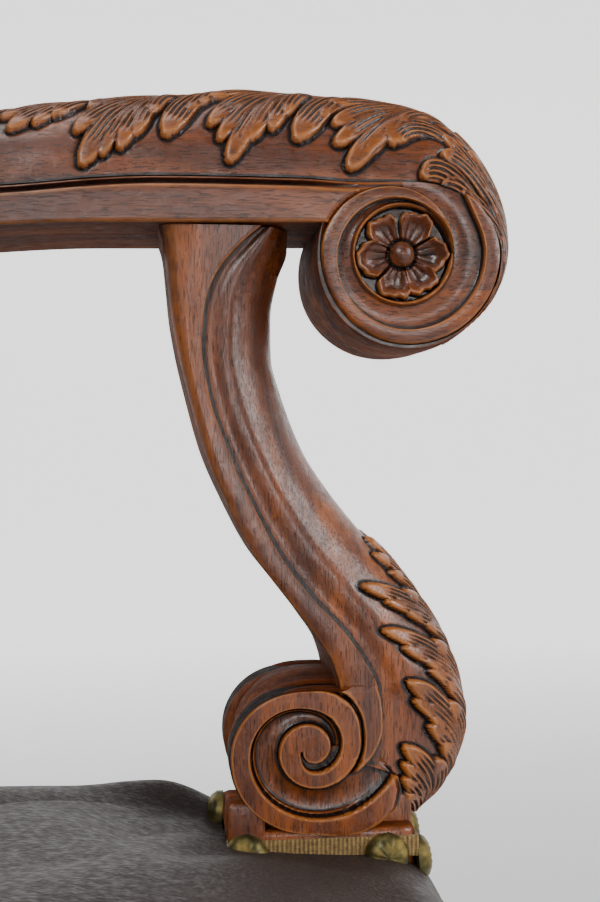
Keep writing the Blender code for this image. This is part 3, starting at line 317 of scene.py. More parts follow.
def tidy_mesh(mesh, smooth_angle=50):
    """Merges doubled points, turns faces outwards and shades round places smooth."""
    work = bmesh.new()
    work.from_mesh(mesh)
    bmesh.ops.remove_doubles(work, verts=work.verts, dist=2e-6)
    bmesh.ops.dissolve_degenerate(work, edges=work.edges, dist=1e-7)
    bmesh.ops.recalc_face_normals(work, faces=work.faces)
    work.to_mesh(mesh)
    work.free()
    mesh.shade_smooth()
    mesh.set_sharp_from_angle(angle=math.radians(smooth_angle))


def unwaxed(piece, top, sides=False):
    """Gives the faces that look down or back, under this height, the unwaxed finish; or all but its two
    faces."""
    mesh = piece.data
    count = len(mesh.polygons)
    normals, middles = np.empty(count * 3), np.empty(count * 3)
    mesh.polygons.foreach_get("normal", normals)
    mesh.polygons.foreach_get("center", middles)
    normals, middles = normals.reshape(-1, 3), middles.reshape(-1, 3)
    bare = (normals[:, 2] < -0.30) | (normals[:, 1] > 0.40) | sides
    bare &= (np.abs(normals[:, 0]) < 0.62) & (middles[:, 2] < top)
    mesh.materials.append(BARE_WOOD)
    mesh.polygons.foreach_set("material_index", bare.astype(np.int32))


def on_arm(sign):
    """Turns millimetres on an arm's plane into world points, for the arm and support on this side."""
    def place(forward, up, across):
        return np.stack((sign * ARM_X + across * MM, DATUM_Y - forward * MM, DATUM_Z + up * MM), axis=-1)
    return place


def on_leg(sign):
    """The same for the front leg, which is the support's shape upside down under the seat rail."""
    def place(forward, up, across):
        return np.stack((sign * ARM_X + across * MM, DATUM_Y - forward * MM, LEG_TOP - (up + 160.0) * MM),
                        axis=-1)
    return place


# ---------------------------------------------------------------- materials
def socket(tree, kind, **inputs):
    """Adds a node, sets its inputs by name, and returns it. An input that is a socket is linked."""
    node = tree.nodes.new(kind)
    for name, value in inputs.items():
        by_place = name.startswith("n") and name[1:].isdigit()
        target = node.inputs[int(name[1:]) if by_place else name]
        if isinstance(value, bpy.types.NodeSocket):
            tree.links.new(value, target)
        else:
            target.default_value = value
    return node


def maths(tree, operation, first, second=0.0, clamp=False):
    node = socket(tree, "ShaderNodeMath", n0=first, n1=second)
    node.operation = operation
    node.use_clamp = clamp
    return node.outputs[0]


def blend_colour(tree, share, first, second, kind="MIX"):
    node = tree.nodes.new("ShaderNodeMix")
    node.data_type = "RGBA"
    node.blend_type = kind
    for target, value in ((node.inputs[0], share), (node.inputs[6], first), (node.inputs[7], second)):
        if isinstance(value, bpy.types.NodeSocket):
            tree.links.new(value, target)
        else:
            target.default_value = value if not isinstance(value, tuple) else (*value, 1.0)
    return node.outputs[2]


def colour_band(tree, source, stops):
    """Colour ramp over a value, from (place, colour) stops."""
    node = socket(tree, "ShaderNodeValToRGB", Fac=source)
    ramp_stops = node.color_ramp.elements
    while len(ramp_stops) < len(stops):
        ramp_stops.new(0.5)
    for stop, (place, colour) in zip(ramp_stops, stops):
        stop.position = place
        stop.color = (*colour, 1.0)
    return node.outputs[0]


def new_material(name, roughness=0.5, metallic=0.0):
    made = bpy.data.materials.new(name)
    made.use_nodes = True
    tree = made.node_tree
    shader = tree.nodes["Principled BSDF"]
    shader.inputs["Roughness"].default_value = roughness
    shader.inputs["Metallic"].default_value = metallic
    return made, tree, shader


def stretched(tree, stretch):
    """Object coordinates scaled along each axis, so that noise runs long along the small one."""
    place = tree.nodes.new("ShaderNodeTexCoord").outputs["Object"]
    return socket(tree, "ShaderNodeMapping", Vector=place, Scale=stretch).outputs[0]


def noise(tree, vector, scale, detail=4.0, roughness=0.55, distortion=0.0):
    node = socket(tree, "ShaderNodeTexNoise", Vector=vector, Scale=scale, Detail=detail, Roughness=roughness,
                  Distortion=distortion)
    return node.outputs["Fac"]


def bump(tree, shader, height, distance, strength=1.0):
    node = socket(tree, "ShaderNodeBump", Height=height, Distance=distance, Strength=strength)
    tree.links.new(node.outputs[0], shader.inputs["Normal"])


def walnut(name, grain, carved=True, waxed=True):
    """Waxed walnut: brown figure and dark pores drawn out along the grain axis; where the carving's own
    attributes mark them, hollows and gouge lines darkened by patina and painted shade, and edges lightened
    orange by wear and a painted highlight; and a broken wax gloss."""
    made, tree, shader = new_material(name)
    long_way = {"x": (0.09, 1, 1), "y": (1, 0.09, 1), "z": (1, 1, 0.09)}[grain]
    along = stretched(tree, long_way)
    figure = noise(tree, along, 55.0, 5.0, 0.6, 0.6)
    wood = colour_band(tree, figure, [(0.30, (0.044, 0.0092, 0.0018)), (0.50, (0.118, 0.0265, 0.0038)),
                                      (0.70, (0.250, 0.061, 0.0065))])
    broad = noise(tree, stretched(tree, (1, 1, 1)), 14.0, 3.0)
    wood = blend_colour(tree, maths(tree, "MULTIPLY", ramp_value(tree, broad, 0.46, 0.66), 0.5), wood,
                        (0.040, 0.013, 0.009))
    streaks = noise(tree, stretched(tree, tuple(0.05 if s < 1 else 1 for s in long_way)), 330.0, 3.0, 0.6)
    wood = blend_colour(tree, maths(tree, "MULTIPLY", ramp_value(tree, streaks, 0.46, 0.66), 0.5), wood,
                        (0.030, 0.0085, 0.003))
    pores = noise(tree, stretched(tree, tuple(0.09 if s < 1 else 1 for s in long_way)), 2300.0, 2.0, 0.5)
    pore = ramp_value(tree, pores, 0.56, 0.66)
    wood = blend_colour(tree, maths(tree, "MULTIPLY", pore, 0.7), wood, (0.012, 0.005, 0.003))
    height = maths(tree, "MULTIPLY", pore, -0.35)
    if carved:
        mark = tree.nodes.new("ShaderNodeAttribute")
        mark.attribute_name = "hollow"
        value = mark.outputs["Fac"]
        smudge = noise(tree, stretched(tree, (1, 1, 1)), 160.0, 3.0)
        leaf_mark = tree.nodes.new("ShaderNodeAttribute")
        leaf_mark.attribute_name = "raised"
        golden = colour_band(tree, figure, [(0.32, (0.098, 0.0235, 0.0020)), (0.66, (0.255, 0.068, 0.0050))])
        golden = blend_colour(tree, maths(tree, "MULTIPLY", pore, 0.55), golden, (0.030, 0.010, 0.003))
        wood = blend_colour(tree, maths(tree, "MULTIPLY", leaf_mark.outputs["Fac"], 0.85), wood, golden)
        # convex places and marked edges lightened orange: wear, and a painted highlight along the edges
        wear_and_highlight = maths(tree, "ADD", maths(tree, "MULTIPLY", value, -1.0), maths(tree, "MULTIPLY", smudge, 0.5))
        wear_and_painted_highlight = ramp_value(tree, wear_and_highlight, 0.36, 0.95)
        wood = blend_colour(tree, maths(tree, "MULTIPLY", wear_and_painted_highlight, 0.55), wood, (0.36, 0.125, 0.026))
        # hollows darkened almost black: patina, and painted shade in recesses, coves and round the leaves'
        # edges
        patina_and_shade = maths(tree, "ADD", value, maths(tree, "MULTIPLY", smudge, 0.30))
        patina_and_painted_shade = ramp_value(tree, patina_and_shade, 0.24, 0.58)
        # dark lines along the leaves' gouges: painted shade in the grooves, merged into the darkened hollows
        vein, veined = (tree.nodes.new("ShaderNodeAttribute") for _ in range(2))
        vein.attribute_name, veined.attribute_name = "vein", "veined"
        place = maths(tree, "ADD", vein.outputs["Fac"], maths(tree, "MULTIPLY", smudge, 0.7))
        wave = maths(tree, "SINE", maths(tree, "MULTIPLY", place, math.pi / VEIN_PITCH), 0.0)
        line = maths(tree, "SUBTRACT", 1.0, ramp_value(tree, maths(tree, "ABSOLUTE", wave, 0.0), 0.16, 0.62))
        line = maths(tree, "MULTIPLY", line, veined.outputs["Fac"])
        patina_and_painted_shade = maths(tree, "MAXIMUM", patina_and_painted_shade, maths(tree, "MULTIPLY", line, 0.92))
        height = maths(tree, "ADD", height, maths(tree, "MULTIPLY", line, -0.9))
        wood = blend_colour(tree, maths(tree, "MULTIPLY", patina_and_painted_shade, 0.96), wood, (0.005, 0.0025, 0.002))
    tree.links.new(wood, shader.inputs["Base Color"])
    wax = noise(tree, stretched(tree, (1, 1, 1)), 230.0, 4.0, 0.65)
    tree.links.new(spread(tree, wax, *((0.30, 0.52) if waxed else (0.70, 0.90))), shader.inputs["Roughness"])
    shader.inputs["Specular IOR Level"].default_value = 0.45 if waxed else 0.08
    shader.inputs["Coat Weight"].default_value = 0.22 if waxed else 0.0
    shader.inputs["Coat Roughness"].default_value = 0.20
    dents = noise(tree, stretched(tree, (1, 1, 1)), 120.0, 5.0, 0.6)
    height = maths(tree, "ADD", height, maths(tree, "MULTIPLY", dents, 1.1))
    bump(tree, shader, height, 0.00045)
    return made


def ramp_value(tree, value, low, high):
    """0 below low and 1 above high, smooth between."""
    node = socket(tree, "ShaderNodeMapRange", Value=value)
    node.interpolation_type = "SMOOTHSTEP"
    node.inputs["From Min"].default_value = low
    node.inputs["From Max"].default_value = high
    return node.outputs[0]


def spread(tree, value, low, high):
    """Noise near the middle of its range, spread from low to high."""
    node = socket(tree, "ShaderNodeMapRange", Value=value)
    node.inputs["From Min"].default_value = 0.35
    node.inputs["From Max"].default_value = 0.65
    node.inputs["To Min"].default_value = low
    node.inputs["To Max"].default_value = high
    return node.outputs[0]


def leather():
    """Dark brown hide: a fine pebble of rounded cells, soft creases, and paler rubbed places."""
    made, tree, shader = new_material("worn_leather", 0.48)
    place = stretched(tree, (1, 1, 1))
    wobble = noise(tree, place, 300.0, 2.0)
    cells = socket(tree, "ShaderNodeTexVoronoi", Vector=place, Scale=620.0)
    cells.feature = "SMOOTH_F1"
    crease = noise(tree, place, 38.0, 5.0, 0.6, 0.8)
    broad = noise(tree, place, 9.0, 3.0)
    colour = blend_colour(tree, ramp_value(tree, broad, 0.35, 0.7), (0.016, 0.0095, 0.0078),
                          (0.033, 0.0205, 0.0165))
    pits = ramp_value(tree, cells.outputs["Distance"], 0.35, 0.75)
    colour = blend_colour(tree, maths(tree, "MULTIPLY", pits, 0.6), colour, (0.014, 0.010, 0.009))
    tree.links.new(colour, shader.inputs["Base Color"])
    tree.links.new(spread(tree, wobble, 0.52, 0.72), shader.inputs["Roughness"])
    shader.inputs["Specular IOR Level"].default_value = 0.30
    height = maths(tree, "MULTIPLY", cells.outputs["Distance"], -0.5)
    height = maths(tree, "ADD", height, maths(tree, "MULTIPLY", crease, 1.3))
    bump(tree, shader, height, 0.0006)
    return made


def braid():
    """Tan woven braid: ribs across the strip, as fine bars, with a darker warp and worn threads."""
    made, tree, shader = new_material("woven_braid", 0.82)
    place = stretched(tree, (1, 1, 1))
    parts = socket(tree, "ShaderNodeSeparateXYZ", Vector=place)
    lengthwise = maths(tree, "ADD", parts.outputs[0], parts.outputs[1])
    ribs = maths(tree, "SINE", maths(tree, "MULTIPLY", lengthwise, 2 * math.pi / 0.0016))
    threads = maths(tree, "SINE", maths(tree, "MULTIPLY", parts.outputs[2], 2 * math.pi / 0.0011))
    weave = maths(tree, "ADD", maths(tree, "MULTIPLY", ribs, 0.5), maths(tree, "MULTIPLY", threads, 0.08))
    fuzz = noise(tree, place, 700.0, 3.0)
    shade = maths(tree, "ADD", maths(tree, "MULTIPLY", weave, 0.35), fuzz)
    colour = colour_band(tree, shade, [(0.20, (0.075, 0.038, 0.010)), (0.55, (0.185, 0.112, 0.030)),
                                       (0.90, (0.31, 0.205, 0.070))])
    tree.links.new(colour, shader.inputs["Base Color"])
    shader.inputs["Sheen Weight"].default_value = 0.15
    bump(tree, shader, weave, 0.0003)
    return made


def old_brass():
    """Tarnished brass: dull gold on the high places, green-black in the hollows."""
    made, tree, shader = new_material("old_brass", 0.42, 0.75)
    place = stretched(tree, (1, 1, 1))
    cloud = noise(tree, place, 170.0, 4.0, 0.6)
    colour = colour_band(tree, cloud, [(0.34, (0.042, 0.040, 0.016)), (0.52, (0.105, 0.080, 0.022)),
                                       (0.70, (0.22, 0.150, 0.036))])
    mark = tree.nodes.new("ShaderNodeAttribute")
    mark.attribute_name = "hollow"
    colour = blend_colour(tree, ramp_value(tree, mark.outputs["Fac"], 0.1, 0.6), colour,
                          (0.018, 0.026, 0.014))
    tree.links.new(colour, shader.inputs["Base Color"])
    tree.links.new(spread(tree, cloud, 0.34, 0.60), shader.inputs["Roughness"])
    bump(tree, shader, cloud, 0.0002)
    return made


def plain_wood():
    """Sawn beech inside the upholstery: pale, with short flecks along the rails."""
    made, tree, shader = new_material("sawn_beech", 0.62)
    flecks = noise(tree, stretched(tree, (0.3, 0.3, 1)), 420.0, 3.0)
    colour = colour_band(tree, flecks, [(0.36, (0.27, 0.165, 0.085)), (0.60, (0.45, 0.30, 0.165))])
    tree.links.new(colour, shader.inputs["Base Color"])
    bump(tree, shader, flecks, 0.0003)
    return made


JUTE_THREAD = 0.0026


def jute():
    """Coarse jute: crossing threads as a product of two waves, with loose fibres."""
    made, tree, shader = new_material("coarse_jute", 0.9)
    place = stretched(tree, (1, 1, 1))
    parts = socket(tree, "ShaderNodeSeparateXYZ", Vector=place)
    upright = maths(tree, "ADD", parts.outputs[1], parts.outputs[2])
    one = maths(tree, "SINE", maths(tree, "MULTIPLY", parts.outputs[0], 2 * math.pi / JUTE_THREAD))
    two = maths(tree, "SINE", maths(tree, "MULTIPLY", upright, 2 * math.pi / JUTE_THREAD))
    weave = maths(tree, "MULTIPLY", one, two)
    fibres = noise(tree, place, 500.0, 3.0)
    shade = maths(tree, "ADD", maths(tree, "MULTIPLY", weave, 0.2), fibres)
    colour = colour_band(tree, shade, [(0.3, (0.16, 0.105, 0.055)), (0.7, (0.42, 0.31, 0.18))])
    tree.links.new(colour, shader.inputs["Base Color"])
    bump(tree, shader, weave, 0.0004)
    return made


def steel():
    """Plain screw steel with a brown bloom."""
    made, tree, shader = new_material("screw_steel", 0.42, 1.0)
    bloom = noise(tree, stretched(tree, (1, 1, 1)), 260.0, 3.0)
    colour = colour_band(tree, bloom, [(0.4, (0.17, 0.13, 0.10)), (0.62, (0.34, 0.33, 0.32))])
    tree.links.new(colour, shader.inputs["Base Color"])
    bump(tree, shader, bloom, 0.0001)
    return made


WOOD_Y = walnut("walnut_arm", "y")
WOOD_Z = walnut("walnut_upright", "z")
BARE_WOOD = walnut("walnut_unwaxed", "y", waxed=False)
WOOD_X = walnut("walnut_cross", "x", carved=False)
LEATHER = leather()
BRAID = braid()
BRASS = old_brass()
BEECH = plain_wood()
JUTE = jute()
STEEL = steel()


# ---------------------------------------------------------------- arm
def arm_stations(fine):
    """Stations along the arm: straight ones by distance forward, then ones turned about the scroll's middle.
    Returns forward distance, turn in degrees and distance along the crest."""
    rear = np.arange(ARM_REAR - 6, -112, 3.0)
    front = np.arange(-112, SCROLL[0], 0.48 / fine)
    turn = np.arange(0, 300, 0.56 / fine)
    arc = np.concatenate(([0], np.cumsum(np.radians(0.56 / fine) * through(SCROLL_OUTSIDE, turn[:-1]))))
    forward = np.concatenate((rear, front, np.full(turn.shape, SCROLL[0])))
    turns = np.concatenate((np.zeros(len(rear) + len(front)), turn))
    length = np.concatenate((rear, front, SCROLL[0] + arc))
    return forward, turns, length


def arm_section(forward, turn, length, crown_steps):
    """Half sections of the arm at each station, from the middle of the underside to the crest: flat
    underside, upright band, cove with a bead over it, then a quarter ellipse from the side to the crest.
    Returns across, height from the section's foot, the crown's first column, and how far down from the
    crest each point lies."""
    turned = turn > 0
    foot = np.where(turned, 10 + 14 * ramp(0, 90, turn), through(UNDERSIDE, forward) - SCROLL[1])
    band_top = np.where(turned, through(SCROLL_FACE, turn) - 3.4, foot + through(SIDE_BAND, forward))
    crest = np.where(turned, through(SCROLL_OUTSIDE, turn), through(CREST, forward) - SCROLL[1])
    # the outlines are over the leaves, so the ground under them lies lower
    crest = crest - LEAF_BED * ramp(-112, -92, length) * (1 - ramp(196, 216, length))
    side = np.where(turned, 25.5, 32.0)
    base = np.where(turned, through(SCROLL_FACE, turn), band_top + 3.6)
    shoulder = np.where(turned, 27.5 + 3.7 * ramp(45, 95, turn), 28.6 - 1.1 * ramp(62, 76, forward))
    flat = ramp(110, 185, turn)
    cove_depth = 3.4 * (1 - ramp(50, 84, forward))
    foot, band_top, crest, side, base, shoulder, flat, cove_depth = (
        v[:, None] for v in (foot, band_top, crest, side, base, shoulder, flat, cove_depth))
    under = np.array([0, 0.35, 0.7, 0.93, 0.975])[None] * side
    rise = np.array([0.0, 0.06, 0.15, 0.25, 0.35, 0.45, 0.55, 0.65, 0.75, 0.85, 0.94, 1.0])[None]
    band = foot + (band_top - foot) * rise
    band_across = side - np.array([0.7, *[0] * 9, 0.08, 0.7])[None] + 0 * band
    # the cove dips in and comes out again as a thin bead, then a fine groove parts it from the crown
    cove = np.linspace(0, 1, 13)[None, 1:]
    cove_up = band_top + (base - band_top) * cove
    dip = cove_depth * np.sin(np.pi * np.clip(cove / 0.62, 0, 1)) ** 0.8
    bead = 0.5 * np.exp(-((cove - 0.72) / 0.09) ** 2) - 0.7 * np.exp(-((cove - 0.9) / 0.07) ** 2)
    bead = bead * np.clip(cove_depth / 3.4, 0, 1)
    cove_across = (side - 0.7) + (shoulder - side + 0.7) * cove - dip + bead
    angle = np.linspace(0, math.pi / 2, crown_steps)[None]
    power = 1.0 - 0.86 * flat
    up = base + (crest - base) * np.sin(angle) ** power
    across = shoulder * np.cos(angle) ** (1.0 - 0.35 * flat)
    arc = np.concatenate((np.zeros_like(up[:, :1]), np.cumsum(np.hypot(np.diff(up), np.diff(across)), 1)), 1)
    down = arc[:, -1:] - arc
    ups = np.concatenate((foot + 0 * under, band, cove_up, up), 1)
    acrosses = np.concatenate((under, band_across, cove_across, across), 1)
    # what would lie over the scroll's own face is sunk under it
    ahead = forward[:, None] - SCROLL[0]
    out, around = np.hypot(ahead, ups), np.degrees(np.arctan2(ahead, ups))
    inside = through(SCROLL_FACE, np.where(around < -80, around + 360, around)) - out
    sunk = np.minimum(acrosses, 32.0 - 6.5 * ramp(0.4, 4.4, inside))
    acrosses = np.where(turned[:, None], acrosses, sunk)
    return acrosses, ups, ups.shape[1] - crown_steps, down


def tool_marks(along, down):
    """Shallow gouge facets left on the ground: two crossing waves whose phase wanders."""
    wander = 2.0 * np.sin(down / 9.0) + 1.3 * np.sin(along / 31.0)
    return 0.13 * np.sin(along / 4.6 + wander) * np.sin(down / 3.9 + along / 23.0)


def make_arm(side, sign, fine):
    """The arm: the section carried along the stations, with the leaves raised along its own normal."""
    forward, turn, length = arm_stations(fine)
    crown_steps = int(104 * fine)
    across, up, first, down = arm_section(forward, turn, length, crown_steps)
    along = np.repeat(length[:, None], crown_steps, 1)
    leaf, vein, live = leaf_relief(along, down, [*fingers_of(ARM_FANS), *SCROLL_FINGERS], LEAF_EDGE, 3.1)
    raised = np.clip(leaf, 0, 1)
    marked = leaf + tool_marks(along, down) * (1 - 0.75 * raised)
    across_slope, up_slope = np.gradient(across[:, first:], axis=1), np.gradient(up[:, first:], axis=1)
    size = np.hypot(across_slope, up_slope) + 1e-9
    across[:, first:] += marked * up_slope / size
    up[:, first:] += marked * -across_slope / size
    across[:, -1] = 0.0
    hollow, carved, veins, veined = (np.zeros_like(across) for _ in range(4))
    # the leaf's marks: dark, patina and painted shade, round the leaves' edges and between them; light, wear
    # and a painted highlight, on their tops
    hollow[:, first:] = hollows(leaf, 8, 0.62)
    carved[:, first:] = raised
    veins[:, first:] = vein
    veined[:, first:] = live
    # painted highlight along the band edges and the bead (worn as well), patina and painted shade in the
    # cove and the groove
    for columns, value in (((5, 6), -0.45), ((15, 18), -0.5), ((first - 9, first - 6), 0.35),
                           ((first - 4, first - 3), -0.4), ((first - 2, first + 1), 0.5)):
        hollow[:, columns[0]:columns[1] + 1] = value
    full_across, full_up, full_hollow, full_carved, full_veins, full_veined = mirrored(
        (across, -1), (up, 1), (hollow, 1), (carved, 1), (veins, 1), (veined, 1))
    angle = np.radians(turn)[:, None]
    ahead = np.where(turn[:, None] > 0, SCROLL[0] + full_up * np.sin(angle), forward[:, None] + 0 * full_up)
    high = np.where(turn[:, None] > 0, SCROLL[1] + full_up * np.cos(angle), SCROLL[1] + full_up)
    points = on_arm(sign)(ahead, high, full_across)
    cuts = [0, int(np.searchsorted(length, -5.0)), int(np.searchsorted(length, 150.0)), len(length) - 1]
    for part, low, high in zip(("rear", "middle", "front"), cuts, cuts[1:]):
        rows = slice(low, high + 1)
        mesh = grid_mesh(f"arm_{part}_{side}", points[rows], loop_columns=True, cap_rows=True,
                         hollow=full_hollow[rows], raised=full_carved[rows], vein=full_veins[rows],
                         veined=full_veined[rows])
        unwaxed(shown(f"carved_arm_{part}_{side}", mesh, WOOD_Y, f"arm_{side}"), DATUM_Z + 0.088)


# the flower's petals: middle of each, length and half width, by turn angle, millimetres and degrees
PETALS = [(27, 17.0, 33), (90, 17.3, 31), (142.5, 16.9, 31), (195, 17.2, 30), (260, 17.6, 35),
          (319, 16.6, 30)]


def scroll_face(radius, turn):
    """Across distance of the scroll's carved face: a channelled ground, a raised band that winds inwards, a
    thin ring, and a six-petalled flower with cupped petals round a ball."""
    ground = 29.0 - 1.3 * np.sin(np.clip((radius - 19) / 12, 0, 1) * np.pi)
    height = ground + 0.0
    for unwrapped in (turn, turn + 360):
        inside = (unwrapped > 41) & (unwrapped < 450)
        outer = through(SCROLL_BAND, unwrapped)
        width = through(SCROLL_BAND, unwrapped, 2)
        depth = np.minimum(outer - radius, radius - (outer - width))
        slope = np.clip((radius - (outer - width)) / np.maximum(width, 0.1), 0, 1)
        band = 32.4 - 0.9 * slope + 0.5 * np.sin(np.pi * slope) + 0.35 * np.exp(-(slope / 0.12) ** 2)
        height = np.where(inside, height + (band - height) * ramp(-0.25, 0.55, depth), height)
    edge_drop = ramp(0.0, 1.6, radius - through(SCROLL_FACE, turn) + 1.6)
    edge_drop = edge_drop * ramp(95, 130, turn) * (turn < 292)
    height = height - 1.2 * edge_drop ** 2
    x = radius * np.sin(np.radians(turn))
    y = radius * np.cos(np.radians(turn)) + 0.7
    reach, way = np.hypot(x, y), np.degrees(np.arctan2(x, y)) % 360
    ring = np.exp(-((reach - 18.3) / 0.62) ** 2)
    bowl = 1 - ramp(16.9, 17.8, reach)
    height = height + 1.4 * ring - bowl * (height - 25.6)
    petals = np.full(radius.shape, -9.0)
    for order, (aim, size, half) in enumerate(PETALS):
        off = (way - aim + 180) % 360 - 180
        ragged = 0.65 * np.sin(off * 0.17 + order * 1.9) + 0.28 * np.sin(off * 0.43 + order)
        tip = size - 6.6 * np.abs(off / 36) ** 3.0 + ragged
        side_room = (half * np.clip(reach / 6.5, 0.4, 1) ** 0.5 - np.abs(off)) * reach / 57.3
        within = ramp(-0.1, 0.5, tip - reach) * ramp(-0.1, 0.9, side_room)
        cup = 0.7 + 3.6 * (np.clip(reach, 0, 18) / 16.5) ** 2.4 + 1.5 * (np.abs(off) / 30) ** 2.2
        curl = 1.2 * np.exp(-((tip - reach - 1.9) / 1.5) ** 2) - 1.5 * ramp(1.3, 0.0, tip - reach)
        hollow = -0.9 * np.exp(-((reach - 10.5) / 3.2) ** 2) * np.exp(-(off / 17) ** 2)
        veins = 0.5 * np.abs(np.sin(np.radians(off) * 13)) ** 0.6 * (1 - ramp(9.5, 14.0, reach))
        lean = 0.5 * np.sin(np.radians(off) * 2.4) * (-1) ** order
        petals = np.maximum(petals,
                            np.where(within > 0.02, within * (cup + curl + hollow + veins + lean), -9.0))
    height = np.where((petals > -8) & (bowl > 0.5), np.maximum(height, 25.6 + petals), height)
    ball = np.sqrt(np.clip(1 - (reach / 4.8) ** 2, 0, None))
    height = np.where(reach < 4.8, np.maximum(height, 26.6 + 4.6 * ball), height)
    return height - 0.9 * np.exp(-((reach - 5.5) / 0.55) ** 2)


def volute_face(radius, turn):
    """Across distance of the volute's carved face: a raised band between two spirals, a hollow channel
    between its turns with a fine bead along the groove, and the tail of the S's flat band beside it."""
    floor = 26.0
    height = np.full(radius.shape, floor)
    bead = np.zeros(radius.shape)
    turn = turn % 360
    for lap in (-360, 0, 360):
        unwrapped = turn + lap
        rim = through(VOLUTE_RIM, unwrapped)
        groove = np.where(unwrapped < 200, -9.0, through(VOLUTE_GROOVE, unwrapped))
        depth = np.minimum(rim - radius, radius - groove)
        live = unwrapped <= 700
        height = np.where(live, np.maximum(height, floor + (30.0 - floor) * ramp(-0.4, 0.35, depth)), height)
        if lap == 360:
            bead = live * np.exp(-((radius - groove + 1.3) / 0.45) ** 2) * (1 - ramp(640, 690, unwrapped))
            room = groove - through(VOLUTE_RIM, unwrapped - 360)
            middle = (radius - through(VOLUTE_RIM, unwrapped - 360)) / np.maximum(room, 1.0)
            height = height - 1.1 * np.sin(np.pi * np.clip(middle, 0, 1)) * (height < floor + 0.3) * live
    signed = np.where(turn > 180, turn - 360, turn)
    tail_out = through(VOLUTE_STEP, signed)
    tail_in = through(VOLUTE_RIM, signed + 360) + 1.2
    tail = np.minimum(tail_out - radius, radius - tail_in)
    on_tail = (signed > -48) & (signed < 62)
    height = np.where(on_tail, height + np.maximum(29.9 - height, 0) * ramp(-0.35, 0.35, tail), height)
    outer_edge = through(VOLUTE_SIDE, np.where(turn > 285, turn - 360, turn))
    open_side = ramp(-78, -62, signed) * (1 - ramp(-22, -10, signed))
    height = height - 4.0 * open_side * ramp(5.0, 0.0, outer_edge - radius) ** 2
    return height + 1.2 * bead * (height < 28.5)


def relief_disc(name, place, centre, edge, face, rings, spokes, start, clockwise, side_sign, floor=14.0):
    """A carved disc on one face: face(radius, turn) gives the across distance on a polar grid out to
    edge(turn), then a wall goes down to a flat floor inside the wood."""
    turn = start + np.linspace(0, 360, spokes, endpoint=False)[:, None]
    share = np.linspace(0, 1, rings)[None]
    radius = share * through(edge, turn)
    across = face(radius, turn)
    # marks for the material: darker in hollows and more so the deeper the face lies, patina and painted
    # shade; lighter on edges, wear and a painted highlight
    marks = hollows(across, 9, 0.75, (True, False)) + 0.22 * ramp(29.4, 27.0, across)
    radius = np.concatenate((radius, radius[:, -1:], 0 * radius[:, :1]), 1)
    across = np.concatenate((across, floor + 0 * radius[:, :2]), 1)
    marks = np.concatenate((marks, 0 * radius[:, :2]), 1)
    angle = np.radians(turn)
    forward_share, up_share = (np.sin(angle), np.cos(angle)) if clockwise else (np.cos(angle), np.sin(angle))
    points = place(centre[0] + radius * forward_share, centre[1] + radius * up_share, side_sign * across)
    return grid_mesh(name, points, loop_rows=True, hollow=marks, raised=0 * marks)


def make_scroll_faces(side, sign):
    for word, side_sign in (("inner", -sign), ("outer", sign)):
        rings, spokes = (130, 560) if (word, side) == ("inner", "left") else (84, 360)
        mesh = relief_disc(f"scroll_{word}_{side}", on_arm(sign), SCROLL, SCROLL_FACE, scroll_face, rings,
                           spokes,
                           -72, True, side_sign)
        shown(f"scroll_face_{word}_{side}", mesh, WOOD_Y, f"arm_{side}")


# ---------------------------------------------------------------- arm supports, and front legs alike
def support_lines(steps):
    """Rear, step and front lines of the support as smooth curves through its stations, evenly stepped."""
    knots = np.arange(len(SUPPORT_STATIONS), dtype=float)
    t = np.linspace(0, knots[-1], steps)
    lines = [np.stack([through([(k, s[line][axis]) for k, s in zip(knots, SUPPORT_STATIONS)], t)
                       for axis in (0, 1)], 1) for line in range(3)]
    return t, lines


